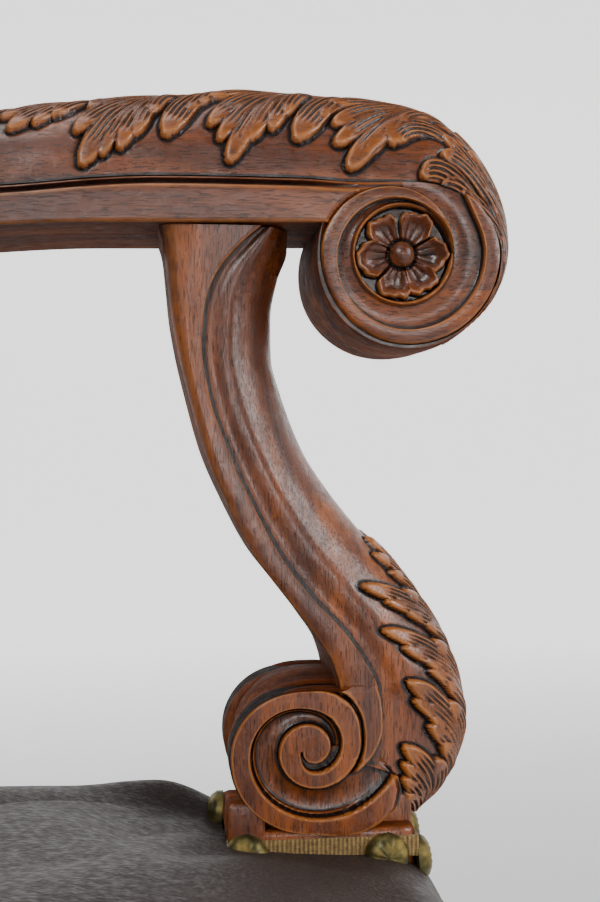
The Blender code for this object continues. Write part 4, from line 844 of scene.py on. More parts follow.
def support_body(name, place, steps, crown_steps):
    """The S: a flat band behind, chamfered at its rear, and a round body whose section is a quarter ellipse
    from the step to the front edge, mirrored across. Leaves rise along the section's normal on its lower
    front."""
    t, (rear, step, front) = support_lines(steps)
    length = np.concatenate(([0], np.cumsum(np.hypot(*np.diff(front, axis=0).T))))
    sink = ramp(11.75, 12.5, t)[:, None]
    face = 30.0 - 5.5 * sink
    chamfer = np.clip(5.0 - 2.0 * ramp(0.5, 4, t) - 3.0 * ramp(5, 8, t), 0.4, None)[:, None]
    body_side = 27.6 - 3.0 * sink
    width = np.hypot(*(step - rear).T)[:, None]
    # shares of the way from rear to step, and the across distance there
    shares = [np.zeros_like(face)] * 3
    acrosses = [0 * face, 0.5 * face, 0.86 * face]
    for s, a in ((0.0, -1.0), (0.5, -0.4), (1.0, 0.0)):
        shares.append(s * chamfer / width)
        acrosses.append(face + a * chamfer * 0.9)
    for s, drop in ((0.5, 0.0), (0.93, 0.0), (0.985, 0.12), (1.0, 0.5), (1.004, 2.6)):
        shares.append(np.full_like(face, s))
        acrosses.append(face - drop * (1 - sink))
    shares, flat_across = np.concatenate(shares, 1), np.concatenate(acrosses, 1)
    angle = np.linspace(0, math.pi / 2, crown_steps)[None]
    crown = np.sin(angle)
    gutter = (1.9 * np.exp(-((angle - 0.10) / 0.15) ** 2) - 0.5
              * np.exp(-((angle - 0.42) / 0.12) ** 2)) * (1 - sink)
    across = body_side * np.cos(angle) ** 0.9 - gutter
    span = front - step
    size = np.hypot(*span.T)[:, None]
    arc = np.concatenate((np.zeros_like(size),
                          np.cumsum(np.hypot(np.diff(size * crown), np.diff(across)), 1)), 1)
    down = arc[:, -1:] - arc
    along = np.repeat(length[:, None], crown_steps, 1)
    leaf, vein, live = leaf_relief(along, down, list(fingers_of(SUPPORT_FANS)), SUPPORT_LEAF_EDGE, 3.0)
    raised = np.clip(leaf, 0, 1)
    marked = leaf + 0.6 * tool_marks(along, down) * (1 - raised)
    out_slope, across_slope = np.gradient(size * crown, axis=1), np.gradient(across, axis=1)
    norm = np.hypot(out_slope, across_slope) + 1e-9
    reach = size * crown - marked * across_slope / norm
    across = across + marked * out_slope / norm
    across[:, -1] = 0.0
    flat_points = rear[:, None] + (step - rear)[:, None] * shares[..., None]
    crown_points = step[:, None] + (span / size)[:, None] * reach[..., None]
    plane = np.concatenate((flat_points, crown_points), 1)
    offset = np.concatenate((flat_across, across), 1)
    # the leaf's marks: patina and painted shade round the leaves, wear and a painted highlight on their tops
    marks, carved, veins, veined = (np.concatenate((np.zeros_like(flat_across), part), 1)
                                    for part in (hollows(leaf, 8, 0.62), raised, vein, live))
    first = flat_across.shape[1]
    # painted highlight on the chamfer's and the step's edges (worn as well), patina and painted shade in the
    # gutter
    for low, high, value in ((4, 6, -0.35), (first - 3, first - 1, -0.5), (first - 1, first + 3, 0.5)):
        marks[:, low:high] = value * (1 - sink)
    plane = np.concatenate((plane, plane[:, -2:0:-1]), 1)
    offset, marks, carved, veins, veined = mirrored(
        (offset, -1), (marks, 1), (carved, 1), (veins, 1), (veined, 1))
    points = place(plane[..., 0], plane[..., 1], offset)
    return grid_mesh(name, points, loop_columns=True, cap_rows=True, hollow=marks, raised=carved, vein=veins,
                     veined=veined)


def volute_roll(name, place, turns, columns):
    """The roll between the volute's two faces: radius by turn, fluted across its width."""
    turn = np.radians(np.linspace(50, 300, turns))[:, None]
    across = np.linspace(-29.2, 29.2, columns)[None]
    flute = 2.2 * np.exp(-((np.abs(across) - 21.5) / 2.6) ** 2) - 1.6 * np.exp(-(across / 13.0) ** 2)
    radius = through(VOLUTE_SIDE, np.degrees(turn)) - 0.3 - flute - 0.9 * ramp(27.8, 29.2, np.abs(across))
    core = 6.0 + 0 * radius[:, :1]
    lip = [radius[:, end:end + 1 or None] - 1.4 for end in (-1, 0)]
    radius = np.concatenate((radius, lip[0], lip[0], core, core, lip[1], lip[1]), 1)
    # dark lines along the flutes' grooves: patina and painted shade
    marks = 0.8 * np.exp(-((np.abs(across) - 21.5) / 2.4) ** 2) + 0 * turn
    marks = np.concatenate((marks, *[0 * core] * 6), 1)
    across = np.concatenate((across, [[28.6, 22.0, 22.0, -22.0, -22.0, -28.6]]), 1) + 0 * radius
    points = place(VOLUTE[0] + 4.2 + radius * np.cos(turn), VOLUTE[1] + 1.6 + radius * np.sin(turn), across)
    return grid_mesh(name, points, loop_columns=True, cap_rows=True, hollow=marks, raised=0 * marks)


def rounded_post(name, place, middle, half, levels, corner=0.10, aside=0.0):
    """A squared block: its outline is a square with rounded corners, grown or shrunk at each level of its
    height."""
    turn = np.linspace(0, 2 * np.pi, 96, endpoint=False)
    power = 1 / corner
    shape = (np.abs(np.cos(turn)) ** power + np.abs(np.sin(turn)) ** power) ** (-corner)
    levels = np.array(levels, float)
    grow = levels[:, 1:2]
    points = place(middle + (half[0] + grow) * (np.cos(turn) * shape)[None], levels[:, :1] + 0 * turn[None],
                   aside + (half[1] + grow) * (np.sin(turn) * shape)[None])
    marks = 0 * points[..., 0]
    return grid_mesh(name, points, loop_columns=True, cap_rows=True, hollow=marks, raised=marks)


def make_support(side, sign, place, word, fine, node):
    body = support_body(f"{word}_body_{side}", place, int(620 * fine), int(76 * fine))
    unwaxed(shown(f"carved_{word}_{side}", body, WOOD_Z, node), ARM_HIGH.z)
    for face, side_sign in (("inner", -sign), ("outer", sign)):
        full = fine if face == "inner" else min(fine, 0.62)
        mesh = relief_disc(f"{word}_volute_{face}_{side}", place, VOLUTE, VOLUTE_SIDE, volute_face,
                           int(118 * full),
                           int(480 * full), -75, False, side_sign)
        unwaxed(shown(f"{word}_volute_{face}_{side}", mesh, WOOD_Z, node), ARM_HIGH.z, True)
    shown(f"{word}_volute_roll_{side}", volute_roll(f"{word}_roll_{side}", place, 90, 48), BARE_WOOD, node)
    blocks = [("foot", 60.1, (34.9, 28.9), -160, -142.5, 0),
              ("heel", 32.2, (7.0, 10.0), -150, -131.8, -18.9 * sign),
              ("toe", 86.8, (8.2, 21.0), -150, -131.5, 0)]
    for part, middle, half, low, high, aside in blocks:
        levels = [(low, 0), (high - 2.2, 0), (high - 1.1, -0.25), (high - 0.3, -0.9), (high, -2.0)]
        mesh = rounded_post(f"{word}_{part}_{side}", place, middle, half, levels, 0.06, aside)
        unwaxed(shown(f"{word}_block_{part}_{side}", mesh, WOOD_Z, node), ARM_HIGH.z, True)


def make_leg_base(side, sign):
    """The leg's lower block, over its bun foot."""
    up = [-160 + (LEG_TOP - z) / MM for z in (LEG_LOW.z, LEG_LOW.z + 0.002, LEG_LOW.z + 0.058,
                                              LEG_LOW.z + 0.060)]
    levels = [(up[0], -1.5), (up[1], 0), (up[2], 0), (up[3], -1.5)]
    middle = (DATUM_Y - (LEG_BASE_LOW + LEG_BASE_HIGH) / 2) / MM
    half = ((LEG_BASE_HIGH - LEG_BASE_LOW) / 2 / MM, 30.0)
    mesh = rounded_post(f"leg_base_{side}", on_leg(sign), middle, half, levels, 0.07)
    shown(f"leg_base_block_{side}", mesh, WOOD_Z, f"front_leg_{side}")


# ---------------------------------------------------------------- nails and braid
def nail_heads(name, places, radius=0.0086, rise=0.0052):
    """Melon-shaped nail heads: height over the wall is rise times sqrt(1 - share^2) at each share of the
    radius, and both are drawn in along ten flutes. places holds (centre, outward direction) pairs."""
    turn = np.linspace(0, 2 * np.pi, 30, endpoint=False)[None]
    share = np.array([1.0, 0.97, 0.82, 0.5, 0.0])[:, None]
    lobe = np.abs(np.cos(5 * turn)) ** 0.5
    out = share * radius * (0.90 + 0.10 * lobe)
    high = rise * np.sqrt(1 - np.clip(share, 0, 1) ** 2) * (0.80 + 0.20 * lobe) * (1 - 0.10 * (share < 0.1))
    high[0] = -0.0012
    marks = np.where(share > 0.1, 0.6 * (1 - lobe) + 0 * share, 0.4 + 0 * lobe)
    work = []
    for centre, outward in places:
        outward = np.array(outward, float)
        side_way = np.cross(outward, (0.31, 0.22, 0.93))
        side_way /= np.linalg.norm(side_way)
        other = np.cross(outward, side_way)
        work.append(np.array(centre) + out[..., None] * (np.cos(turn)[..., None] * side_way
                                                         + np.sin(turn)[..., None] * other)
                    + high[..., None] * outward)
    meshes = [grid_mesh(f"{name}_{k}", points, loop_columns=True, cap_rows=True, hollow=marks)
              for k, points in enumerate(work)]
    return joined(name, meshes)


def joined(name, meshes):
    """Several meshes as one, keeping their marks."""
    work = bmesh.new()
    for mesh in meshes:
        work.from_mesh(mesh)
        bpy.data.meshes.remove(mesh)
    mesh = bpy.data.meshes.new(name)
    work.to_mesh(mesh)
    work.free()
    mesh.shade_smooth()
    mesh.set_sharp_from_angle(angle=math.radians(50))
    return mesh


BRAID_THICK, BRAID_WIDE, GIMP_WIDE, RIB_PITCH = 0.0017, 0.012, 0.0076, 0.0021
NAIL_PITCH, NAIL_OUT = 0.034, 0.0014      # along the banding; a head's base out from the leather
BRAID_BEHIND = 0.036                     # the back's banding, behind the posts' front


def braid_strip(name, line, upward, thickness, height, loop=False, rib=0.0):
    """A flat braid along a line of points: its section is a thin rounded bar, height along upward and
    thickness outwards, ribbed by a wave of the distance along the line."""
    line = np.array(line, float)
    ahead = np.roll(line, -1, 0) - np.roll(line, 1, 0) if loop else np.gradient(line, axis=0)
    ahead /= np.linalg.norm(ahead, axis=1, keepdims=True)
    upward = np.broadcast_to(np.array(upward, float), line.shape)
    outward = np.cross(ahead, upward)
    travelled = np.concatenate(([0], np.cumsum(np.linalg.norm(np.diff(line, axis=0), axis=1))))
    wave = 1 + rib * np.sin(2 * np.pi * travelled / RIB_PITCH)
    section = np.array([(-0.5, 0.0), (-0.5, 0.55), (-0.40, 0.95), (-0.2, 1.0), (0.0, 0.86), (0.2, 1.0),
                        (0.40, 0.95),
                        (0.5, 0.55), (0.5, 0.0)])
    points = (line[:, None] + section[None, :, :1] * height * upward[:, None]
              + section[None, :, 1:] * thickness * wave[:, None, None] * outward[:, None])
    return grid_mesh(name, points, loop_rows=loop, loop_columns=True, cap_rows=not loop)


def spaced(start, end, pitch):
    """Evenly spaced points between two ends, half a pitch in from each."""
    start, end = np.array(start, float), np.array(end, float)
    count = max(2, round(float(np.linalg.norm(end - start)) / pitch))
    return [start + (end - start) * (k + 0.5) / count for k in range(count)]


def make_block_braid(side, sign):
    """Ribbed braid round the support's block, and the nails that hold it."""
    low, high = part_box(f"block_braid_{side}")
    middle_x, middle_y, z = sign * ARM_X, (low.y + high.y) / 2, (low.z + high.z) / 2 - 0.0020
    half_x, half_y = 0.0291, (high.y - low.y) / 2 - 0.0016
    corners = [(1, 1), (-1, 1), (-1, -1), (1, -1)]
    line = []
    for (ax, ay), (bx, by) in zip(corners, corners[1:] + corners[:1]):
        t = np.linspace(0, 1, 130, endpoint=False)[:, None]
        line.append((1 - t) * (ax, ay) + t * (bx, by))
    line = np.concatenate(line) * (half_x, half_y) + (middle_x, middle_y)
    line = np.concatenate((line, np.full((len(line), 1), z)), 1)[::-1]
    mesh = braid_strip(f"gimp_{side}", line, (0, 0, 1), BRAID_THICK, GIMP_WIDE, loop=True, rib=0.32)
    shown(f"block_gimp_{side}", mesh, BRAID, f"block_braid_{side}")
    out = half_x + 0.0012
    inner, outer = middle_x - sign * out, middle_x + sign * out
    front_y, rear_y = middle_y - half_y - 0.0012, middle_y + half_y + 0.0012
    z -= 0.0022
    places = [((inner, DATUM_Y - 0.0318, z + 0.0002), (-sign, 0, 0.1)),
              ((inner, DATUM_Y - 0.0838, z - 0.0010), (-sign, 0, 0.1)),
              ((outer, DATUM_Y - 0.0360, z), (sign, 0, 0.1)), ((outer, DATUM_Y - 0.0850, z), (sign, 0, 0.1)),
              ((middle_x, front_y, z), (0, -1, 0.1)),
              ((middle_x - sign * 0.0225, front_y, z - 0.004), (0, -1, 0.1)),
              ((middle_x + sign * 0.0225, front_y, z), (0, -1, 0.1)),
              ((middle_x + sign * 0.015, rear_y, z + 0.0040), (0, 1, 0.1))]
    shown(f"block_nails_{side}", nail_heads(f"block_nails_{side}", places), BRASS, f"block_braid_{side}")


def make_banding():
    """Braid and nails along the seat's lower edge and down the back's sides."""
    for word in ("front", "left", "right"):
        node = f"seat_banding_{word}"
        low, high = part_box(node)
        z = HEM + BRAID_WIDE / 2
        if word == "front":
            wall = FRAME_FRONT - COVER
            ends = (high.x - 0.002, wall, z), (low.x + 0.002, wall, z)
            outward = (0, -1, 0)
        else:
            sign = SIDES[word]
            wall = sign * (FRAME_SIDE + COVER)
            ends = ((wall, low.y, z), (wall, high.y, z))[::-sign]
            outward = (sign, 0, 0)
        line = np.linspace(*np.array(ends, float), 60)
        strip = braid_strip(f"{node}_braid", line, (0, 0, 1), BRAID_THICK, BRAID_WIDE)
        shown(f"seat_braid_{word}", strip, BRAID, node)
        spots = [(spot + NAIL_OUT * np.array(outward), outward) for spot in spaced(*ends, NAIL_PITCH)]
        shown(f"seat_nails_{word}", nail_heads(f"{node}_nails", spots), BRASS, node)
    for side, sign in SIDES.items():
        node = f"back_banding_{side}"
        low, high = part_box(node)
        z = np.linspace(low.z, high.z, 50)
        wall = sign * (ARM_X + POST_HALF + COVER + 0.0006)
        line = np.stack((np.full(z.shape, wall), post_front(z) + BRAID_BEHIND, z), 1)
        upward = np.gradient(line, axis=0)
        across = np.stack((0 * z, upward[:, 2], -upward[:, 1]), 1)
        across /= np.linalg.norm(across, axis=1, keepdims=True)
        strip = braid_strip(f"{node}_braid", line[::-sign], -across[::-sign], BRAID_THICK, BRAID_WIDE)
        shown(f"back_braid_{side}", strip, BRAID, node)
        heights = spaced((low.z,), (high.z,), NAIL_PITCH)
        spots = [((wall + sign * NAIL_OUT, float(post_front(h[0])) + BRAID_BEHIND, h[0]),
                  (sign, 0, 0)) for h in heights]
        shown(f"back_nails_{side}", nail_heads(f"{node}_nails", spots), BRASS, node)


# ---------------------------------------------------------------- leather seat and back
def rounded_drop(inset, radius):
    """How far a rounded edge has fallen at this distance in from it: radius - sqrt(radius^2 - (radius -
    inset)^2)."""
    short = np.clip(radius - inset, 0, radius)
    return radius - np.sqrt(np.clip(radius ** 2 - short ** 2, 0, None))


# the leather's height over the deck along the seat's sides and along its middle, by distance forward
SEAT_EDGE = [(-0.3, 0.0212), (0.14, 0.0212), (0.17, 0.0182), (0.19, 0.0128), (0.212, 0.0072),
             (0.235, 0.0040), (0.26, 0.0042), (0.28, 0.0062), (0.30, 0.0092)]
SEAT_INNER = [(-0.3, 0.0212), (0.18, 0.0200), (0.22, 0.0165), (0.26, 0.0142), (0.30, 0.0140)]


def seat_height(x, y):
    """Height of the seat: a low edge, a dome (1 - u^2.2)(1 - v^2.4), edges rounded down all round, drawn
    down round the supports' blocks, with a few slack folds running to them."""
    u = np.clip(np.abs(x) / FRAME_SIDE, 0, 1)
    v = np.clip(np.abs(y - SEAT_MIDDLE_Y) / SEAT_HALF_Y, 0, 1)
    inner = ramp(0.235, 0.172, np.abs(x))
    edge = through(SEAT_EDGE, -y) * (1 - inner) + through(SEAT_INNER, -y) * inner
    dome = (1 - u ** 2.2) * (1 - v ** 2.4)
    aside = np.clip(np.abs(np.abs(x) - ARM_X) - 0.030, 0, None)
    beyond = np.clip(np.abs(y - (DATUM_Y - BLOCK_FORWARD)) - 0.036, 0, None)
    gap = np.hypot(aside, beyond)
    swell = 0.0108 * ramp(0.290, 0.308, np.abs(x)) * np.exp(-((y + 0.200) / 0.028) ** 2)
    way = np.arctan2(y - (DATUM_Y - 0.045), ARM_X - np.abs(x))
    folds = 0.0011 * np.sin(way * 9.0 + 0.6) * np.exp(-(gap / 0.040) ** 2) * ramp(0.0, 0.015, gap)
    slack = 0.0012 * np.sin(x * 21 + 1.0) * np.sin(y * 17 + x * 9) * dome
    front_round = 0.75 * rounded_drop(y - FRAME_FRONT, 0.026)
    side_round = 0.8 * rounded_drop(FRAME_SIDE - np.abs(x), 0.014)
    fall = np.maximum(front_round, side_round) + 0.25 * np.minimum(front_round, side_round)
    return DECK + np.maximum(edge + swell + 0.031 * dome + folds + slack, 0.0020) - fall


def sheet_rings(count, edge_share):
    """A square grid split into rings round its middle: for each point, its place on a square (-1 to 1 both
    ways) once pushed out to the edge, and how far down the skirt it is, from 0 at the edge to 1 at the
    lower hem."""
    u, v = np.meshgrid(np.linspace(-1, 1, count), np.linspace(-1, 1, count), indexing="ij")
    ring = np.maximum(np.abs(u), np.abs(v))
    scale = np.where(ring < edge_share, 1 / edge_share, 1 / np.maximum(ring, 1e-9))
    skirt = np.clip((ring - edge_share) / (1 - edge_share), 0, 1)
    return u * scale, v * scale, skirt


def seat_sheet(count, inset):
    """One side of the seat's leather: over the dome, round the edge with rounded corners, down to the
    hem."""
    u, v, skirt = sheet_rings(count, 0.86)
    reach_x, reach_y = FRAME_SIDE + COVER - inset, SEAT_HALF_Y + COVER - inset
    corner = 0.004
    cut_x = np.clip(np.abs(u) * reach_x - (reach_x - corner), 0, None)
    cut_y = np.clip(np.abs(v) * reach_y - (reach_y - corner), 0, None)
    pull = np.where((cut_x > 0) & (cut_y > 0), 0.29 * np.minimum(cut_x, cut_y), 0)
    x = u * reach_x - np.sign(u) * pull
    y = SEAT_MIDDLE_Y + v * reach_y - np.sign(v) * pull
    top = seat_height(np.clip(x, -FRAME_SIDE, FRAME_SIDE), np.clip(y, FRAME_FRONT, FRAME_REAR)) - inset
    z = np.where(skirt > 0, top + (HEM - top) * skirt, top)
    return np.stack((x, y, z), -1), skirt


def closed_shell(name, outer, inner):
    """Two matching grids joined round their rims into one closed thin shell."""
    rows, columns = outer.shape[:2]
    lift = rows * columns
    index = np.arange(lift).reshape(rows, columns)
    quads = np.stack((index[:-1, :-1], index[1:, :-1], index[1:, 1:], index[:-1, 1:]), -1).reshape(-1, 4)
    rim = np.concatenate((index[0, :], index[1:, -1], index[-1, -2::-1], index[-2:0:-1, 0]))
    after = np.roll(rim, -1)
    wall = np.stack((rim, after, after + lift, rim + lift), 1)
    faces = np.concatenate((quads, quads[:, ::-1] + lift, wall[:, ::-1]))
    mesh = bpy.data.meshes.new(name)
    mesh.from_pydata(np.concatenate((outer.reshape(-1, 3), inner.reshape(-1, 3))).tolist(), [],
                     faces.tolist())
    mesh.update()
    return mesh


def stuffed(piece, held, cap, frames=20, pressure=4.0):
    """Blows the piece up with cloth held at the points marked, then keeps each point within cap of where it
    began."""
    start = np.empty(len(piece.data.vertices) * 3)
    piece.data.vertices.foreach_get("co", start)
    if held is not None:
        group = piece.vertex_groups.new(name="held")
        group.add(np.flatnonzero(held).tolist(), 1.0, "REPLACE")
    cloth = piece.modifiers.new("Cloth", "CLOTH")
    rules = cloth.settings
    rules.quality = 5
    rules.mass = 0.4
    rules.tension_stiffness = rules.compression_stiffness = 22
    rules.shear_stiffness = 12
    rules.bending_stiffness = 1.2
    rules.use_pressure = True
    rules.uniform_pressure_force = pressure
    rules.effector_weights.gravity = 0.0
    if held is not None:
        rules.vertex_group_mass = "held"
        rules.pin_stiffness = 1.0
    cloth.point_cache.frame_start = 1
    cloth.point_cache.frame_end = frames
    scene = bpy.context.scene
    for frame_number in range(1, frames + 1):
        scene.frame_set(frame_number)
    shaped = piece.evaluated_get(bpy.context.evaluated_depsgraph_get()).to_mesh()
    end = np.empty(len(shaped.vertices) * 3)
    shaped.vertices.foreach_get("co", end)
    piece.evaluated_get(bpy.context.evaluated_depsgraph_get()).to_mesh_clear()
    piece.modifiers.remove(cloth)
    piece.vertex_groups.clear()
    scene.frame_set(1)
    move = (end - start).reshape(-1, 3)
    size = np.linalg.norm(move, axis=1, keepdims=True)
    move = move * np.minimum(1, cap / np.maximum(size, 1e-9))
    piece.data.vertices.foreach_set("co", (start.reshape(-1, 3) + move).ravel())
    piece.data.update()


def smoothed(piece):
    """One level of subdivision, applied into the mesh."""
    finer = piece.modifiers.new("Subdivision", "SUBSURF")
    finer.levels = finer.render_levels = 1
    done = bpy.data.meshes.new_from_object(piece.evaluated_get(bpy.context.evaluated_depsgraph_get()))
    piece.modifiers.clear()
    name = piece.data.name
    piece.data = done
    done.name = name
    done.shade_smooth()


def make_seat():
    """The seat's leather over its stuffing: one closed shell, its skirt held to the rails."""
    count = 101
    outer, skirt = seat_sheet(count, 0.0)
    inner, _ = seat_sheet(count, 0.0016)
    mesh = closed_shell("seat_cover", outer, inner)
    seat = shown("seat_cover", mesh, LEATHER, "seat_leather", "seat_stuffing")
    x, y = outer[..., 0], outer[..., 1]
    beside = (np.abs(np.abs(x) - ARM_X) < 0.036) & (np.abs(y - (DATUM_Y - BLOCK_FORWARD)) < 0.042)
    held = (skirt > 0.03) | beside
    stuffed(seat, np.concatenate((held.ravel(), np.ones(count * count, bool))), 0.0035, pressure=2.5)
    smoothed(seat)


def post_front(z):
    """Front of the raked rear posts at a height: a gentle parabola over the waist, a stronger one under
    it."""
    over = np.asarray(z, float) - POST_WAIST_Z
    return POST_WAIST_Y + np.where(over > 0, 0.173, 0.330) * over ** 2 - POST_HALF


def make_back():
    """The back's padding: a closed pillow round the posts, crowned in front by (1 - u^2.6)(1 - w^2.6),
    nearly flat behind, and drawn in where the arms meet it."""
    low, high = BACK_LOW.z, BACK_HIGH.z
    rows, columns = 61, 57
    turn_z, turn_x = np.meshgrid(np.linspace(-1, 1, rows), np.linspace(-1, 1, columns), indexing="ij")
    half = ARM_X + POST_HALF + COVER
    z = (low + high) / 2 + turn_z * (high - low) / 2
    x = turn_x * half
    dome = (1 - np.abs(turn_x) ** 2.6) * (1 - np.abs(turn_z) ** 2.6)
    arms = 0.010 * np.exp(-((np.abs(x) - ARM_X) / 0.045) ** 2 - ((z - ARM_MEET_Z) / 0.05) ** 2)
    room = np.minimum((1 - np.abs(turn_x)) * half, (1 - np.abs(turn_z)) * (high - low) / 2)
    front = post_front(z) - 0.0155 - 0.024 * dome + arms + rounded_drop(room, 0.012)
    rear = post_front(z) + 2 * POST_HALF + 0.0008 + 0.003 * dome - rounded_drop(room, 0.004)
    front_points, rear_points = np.stack((x, front, z), -1), np.stack((x, rear, z), -1)
    cells = np.arange(rows * columns).reshape(rows, columns)
    quads = np.stack((cells[:-1, :-1], cells[:-1, 1:], cells[1:, 1:], cells[1:, :-1]), -1).reshape(-1, 4)
    rim = np.concatenate((cells[0, :], cells[1:, -1], cells[-1, -2::-1], cells[-2:0:-1, 0]))
    after = np.roll(rim, -1)
    shift = rows * columns
    faces = np.concatenate((quads[:, ::-1], quads + shift,
                            np.stack((rim, after, after + shift, rim + shift), 1)))
    mesh = bpy.data.meshes.new("back_cover")
    verts = np.concatenate((front_points.reshape(-1, 3), rear_points.reshape(-1, 3)))
    mesh.from_pydata(verts.tolist(), [], faces.tolist())
    tidy_mesh(mesh)
    back = shown("back_cushion", mesh, LEATHER, "back_leather_front", "back_stuffing", "back_leather_rear")
    fine_grid = back.modifiers.new("Remesh", "REMESH")
    fine_grid.mode = "VOXEL"
    fine_grid.voxel_size = 0.0062
    back.data = bpy.data.meshes.new_from_object(back.evaluated_get(bpy.context.evaluated_depsgraph_get()))
    back.modifiers.clear()
    back.data.materials.clear()
    back.data.materials.append(LEATHER)
    co = np.empty(len(back.data.vertices) * 3)
    back.data.vertices.foreach_get("co", co)
    co = co.reshape(-1, 3)
    behind = co[:, 1] > post_front(co[:, 2]) + 0.004
    stuffed(back, behind, 0.005, pressure=3.0)
    smoothed(back)


def make_hessian():
    """Hessian over the webbing, a little short of the frame's rounded front: a thin grid with a slight
    sag."""
    low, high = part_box("seat_hessian")
    reach, back, front = high.x - 0.012, high.y - 0.004, low.y + 0.030
    u, v = np.meshgrid(np.linspace(-1, 1, 60), np.linspace(0, 1, 50), indexing="ij")
    y = front + v * (back - front)
    x = u * (reach - 0.076 * ramp(-0.190, -0.212, y))
    sag = 0.0006 * (1 - u ** 4) * np.sin(np.pi * v)
    lower = np.stack((x, y, low.z + 0 * x), -1)
    upper = np.stack((x, y, high.z - sag), -1)
    mesh = closed_shell("hessian", upper, lower)
    tidy_mesh(mesh)
    cloth = shown("seat_hessian_cloth", mesh, JUTE, "seat_hessian")


def make_rail(node, low, high):
    """A seat rail with its upper arrises rounded over under the leather: a rectangle drawn in by a quarter
    circle over the last of its height."""
    arc = np.linspace(0, np.pi / 2, 9)[:, None]
    inset = np.concatenate(([[0.0]], RAIL_ROUND * (1 - np.cos(arc))))
    z = np.concatenate(([[low.z]], high.z - RAIL_ROUND * (1 - np.sin(arc))))
    corner_x, corner_y = np.array([1, -1, -1, 1]), np.array([1, 1, -1, -1])
    x = (low.x + high.x) / 2 + corner_x * ((high.x - low.x) / 2 - inset)
    y = (low.y + high.y) / 2 + corner_y * ((high.y - low.y) / 2 - inset)
    mesh = grid_mesh(f"{node}_rounded", np.stack((x, y, z + 0 * x), -1), loop_columns=True, cap_rows=True)
    shown(f"{node}_rounded", mesh, BEECH, node)


def make_rails():
    """The front and side rails under the leather, standing for the frame's square ones."""
    low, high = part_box("front_seat_rail")
    make_rail("front_seat_rail", low, Vector((high.x, low.y + 0.030, high.z)))
    for side, sign in SIDES.items():
        low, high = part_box(f"side_seat_rail_{side}")
        ends = sorted((sign * (FRAME_SIDE - 0.030), sign * FRAME_SIDE))
        make_rail(f"side_seat_rail_{side}", Vector((ends[0], max(low.y, FRAME_FRONT + 0.004), low.z)),
                  Vector((ends[1], high.y, high.z)))


POST_HALF = 0.023
RAIL_ROUND = 0.011
COVER = 0.0021
DECK = RAIL_HIGH.z + 0.0003
HEM = RAIL_LOW.z - 0.005                 # the leather's lower edge
FRAME_SIDE = RAIL_HIGH.x
FRAME_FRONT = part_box("front_seat_rail")[0].y
FRAME_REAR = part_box("rear_seat_rail")[1].y
SEAT_MIDDLE_Y = (FRAME_FRONT + FRAME_REAR) / 2
SEAT_HALF_Y = (FRAME_REAR - FRAME_FRONT) / 2
POST_WAIST_Z = RAIL_HIGH.z + 0.0123
POST_WAIST_Y = 0.2127
ARM_MEET_Z = DATUM_Z + 0.102
LEG_BASE_LOW = DATUM_Y - 0.0555
LEG_BASE_HIGH = DATUM_Y + 0.0055

for part_side, part_sign in SIDES.items():
    detail = 0.93 if part_side == "left" else 0.62
    make_arm(part_side, part_sign, detail)
    make_scroll_faces(part_side, part_sign)
    make_support(part_side, part_sign, on_arm(part_sign), "support", detail, f"arm_support_{part_side}")
    make_support(part_side, part_sign, on_leg(part_sign), "leg", 0.42, f"front_leg_{part_side}")
    make_leg_base(part_side, part_sign)
    make_block_braid(part_side, part_sign)
make_banding()
make_rails()
make_hessian()
make_seat()
make_back()


# ---------------------------------------------------------------- carried-over pieces
def dress(look, *starts):
    for name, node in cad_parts.items():
        if name.startswith(starts):
            node.data.materials.clear()
            node.data.materials.append(look)


dress(WOOD_Z, "rear_post", "front_foot")
dress(WOOD_Y, "side_stretcher")
dress(WOOD_X, "cross_stretcher", "rear_stretcher")
dress(BEECH, "rear_seat_rail", "corner_block", "back_top_rail", "back_lower_rail")
dress(JUTE, "seat_web", "seat_hessian", "back_web")
dress(STEEL, "corner_screw")


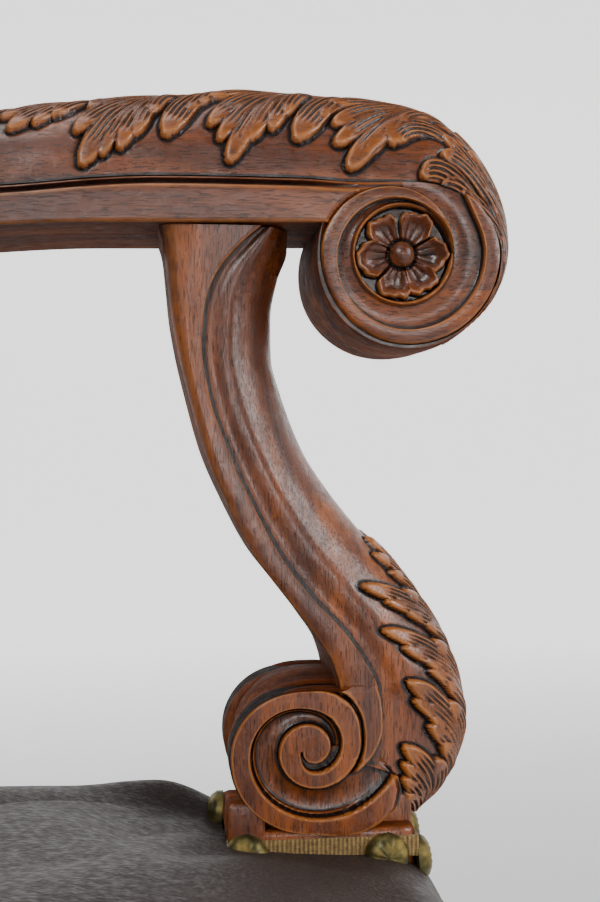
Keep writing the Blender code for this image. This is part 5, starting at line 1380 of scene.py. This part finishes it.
# ---------------------------------------------------------------- floor, light and camera
def make_stage():
    """A round pale floor whose rim curves up into a low wall: height rises as a quarter circle past its
    flat part."""
    flat, bend, top = 3.6, 1.6, 4.2
    arc = np.linspace(0, np.pi / 2, 12)
    radius = np.concatenate(([0.0, 1.5], flat + bend * np.sin(arc), [flat + bend]))
    height = np.concatenate(([0.0, 0.0], bend * (1 - np.cos(arc)), [top]))
    turn = np.linspace(0, 2 * np.pi, 72, endpoint=False)[:, None]
    points = np.stack((radius * np.cos(turn), radius * np.sin(turn), height + 0 * turn), -1)
    mesh = grid_mesh("floor", points, loop_rows=True)
    made, tree, shader = new_material("pale_floor", 0.9)
    place = tree.nodes.new("ShaderNodeTexCoord").outputs["Object"]
    behind = ramp_value(tree, socket(tree, "ShaderNodeSeparateXYZ", Vector=place).outputs[0], 0.8, 3.6)
    shader.inputs["Base Color"].default_value = (0.80, 0.80, 0.80, 1.0)
    shader.inputs["Emission Color"].default_value = (1.0, 1.0, 1.0, 1.0)
    tree.links.new(maths(tree, "MULTIPLY", behind, BACKDROP_GLOW), shader.inputs["Emission Strength"])
    mesh.materials.append(made)
    floor = bpy.data.objects.new("floor", mesh)
    bpy.context.scene.collection.objects.link(floor)
    world = bpy.data.worlds.new("studio")
    world.use_nodes = True
    world.node_tree.nodes["Background"].inputs[0].default_value = (0.95, 0.97, 1.0, 1.0)
    world.node_tree.nodes["Background"].inputs[1].default_value = 0.16
    bpy.context.scene.world = world


def soft_light(name, place, aim, size, power, colour=(1.0, 1.0, 1.0)):
    lamp = bpy.data.lights.new(name, "AREA")
    lamp.shape = "RECTANGLE"
    lamp.size, lamp.size_y = size
    lamp.energy = power
    lamp.color = colour
    holder = bpy.data.objects.new(name, lamp)
    holder.location = place
    holder.rotation_mode = "QUATERNION"
    holder.rotation_quaternion = (Vector(aim) - Vector(place)).to_track_quat("-Z", "Y")
    bpy.context.scene.collection.objects.link(holder)


def make_camera():
    """Inside the chair, level with the datum, looking out at the left arm's inner face."""
    camera = bpy.data.cameras.new("camera")
    camera.lens = 50.0
    camera.sensor_width = 36.0
    holder = bpy.data.objects.new("camera", camera)
    holder.location = (ARM_X - 0.032 - 0.450, DATUM_Y, DATUM_Z)
    swing = math.atan2(143, 1252.8)
    look = Vector((math.cos(swing), -math.sin(swing), -math.tan(math.radians(0.5))))
    holder.rotation_mode = "QUATERNION"
    holder.rotation_quaternion = look.to_track_quat("-Z", "Y")
    camera.clip_start = 0.01
    bpy.context.scene.collection.objects.link(holder)
    bpy.context.scene.camera = holder


BACKDROP_GLOW = 1.15
make_stage()
target = (ARM_X, DATUM_Y, DATUM_Z)
soft_light("key", (-1.25, 0.75, 1.75), target, (0.7, 0.9), 34.0)
soft_light("right", (-0.55, -1.75, 1.25), target, (0.7, 1.1), 26.0)
soft_light("top", (0.25, 0.15, 2.5), target, (1.2, 1.0), 16.0)
soft_light("front", (-1.95, -0.33, 0.72), target, (0.95, 0.55), 24.0)
soft_light("behind", (2.3, 1.2, 1.6), target, (1.4, 1.4), 5.0)
make_camera()
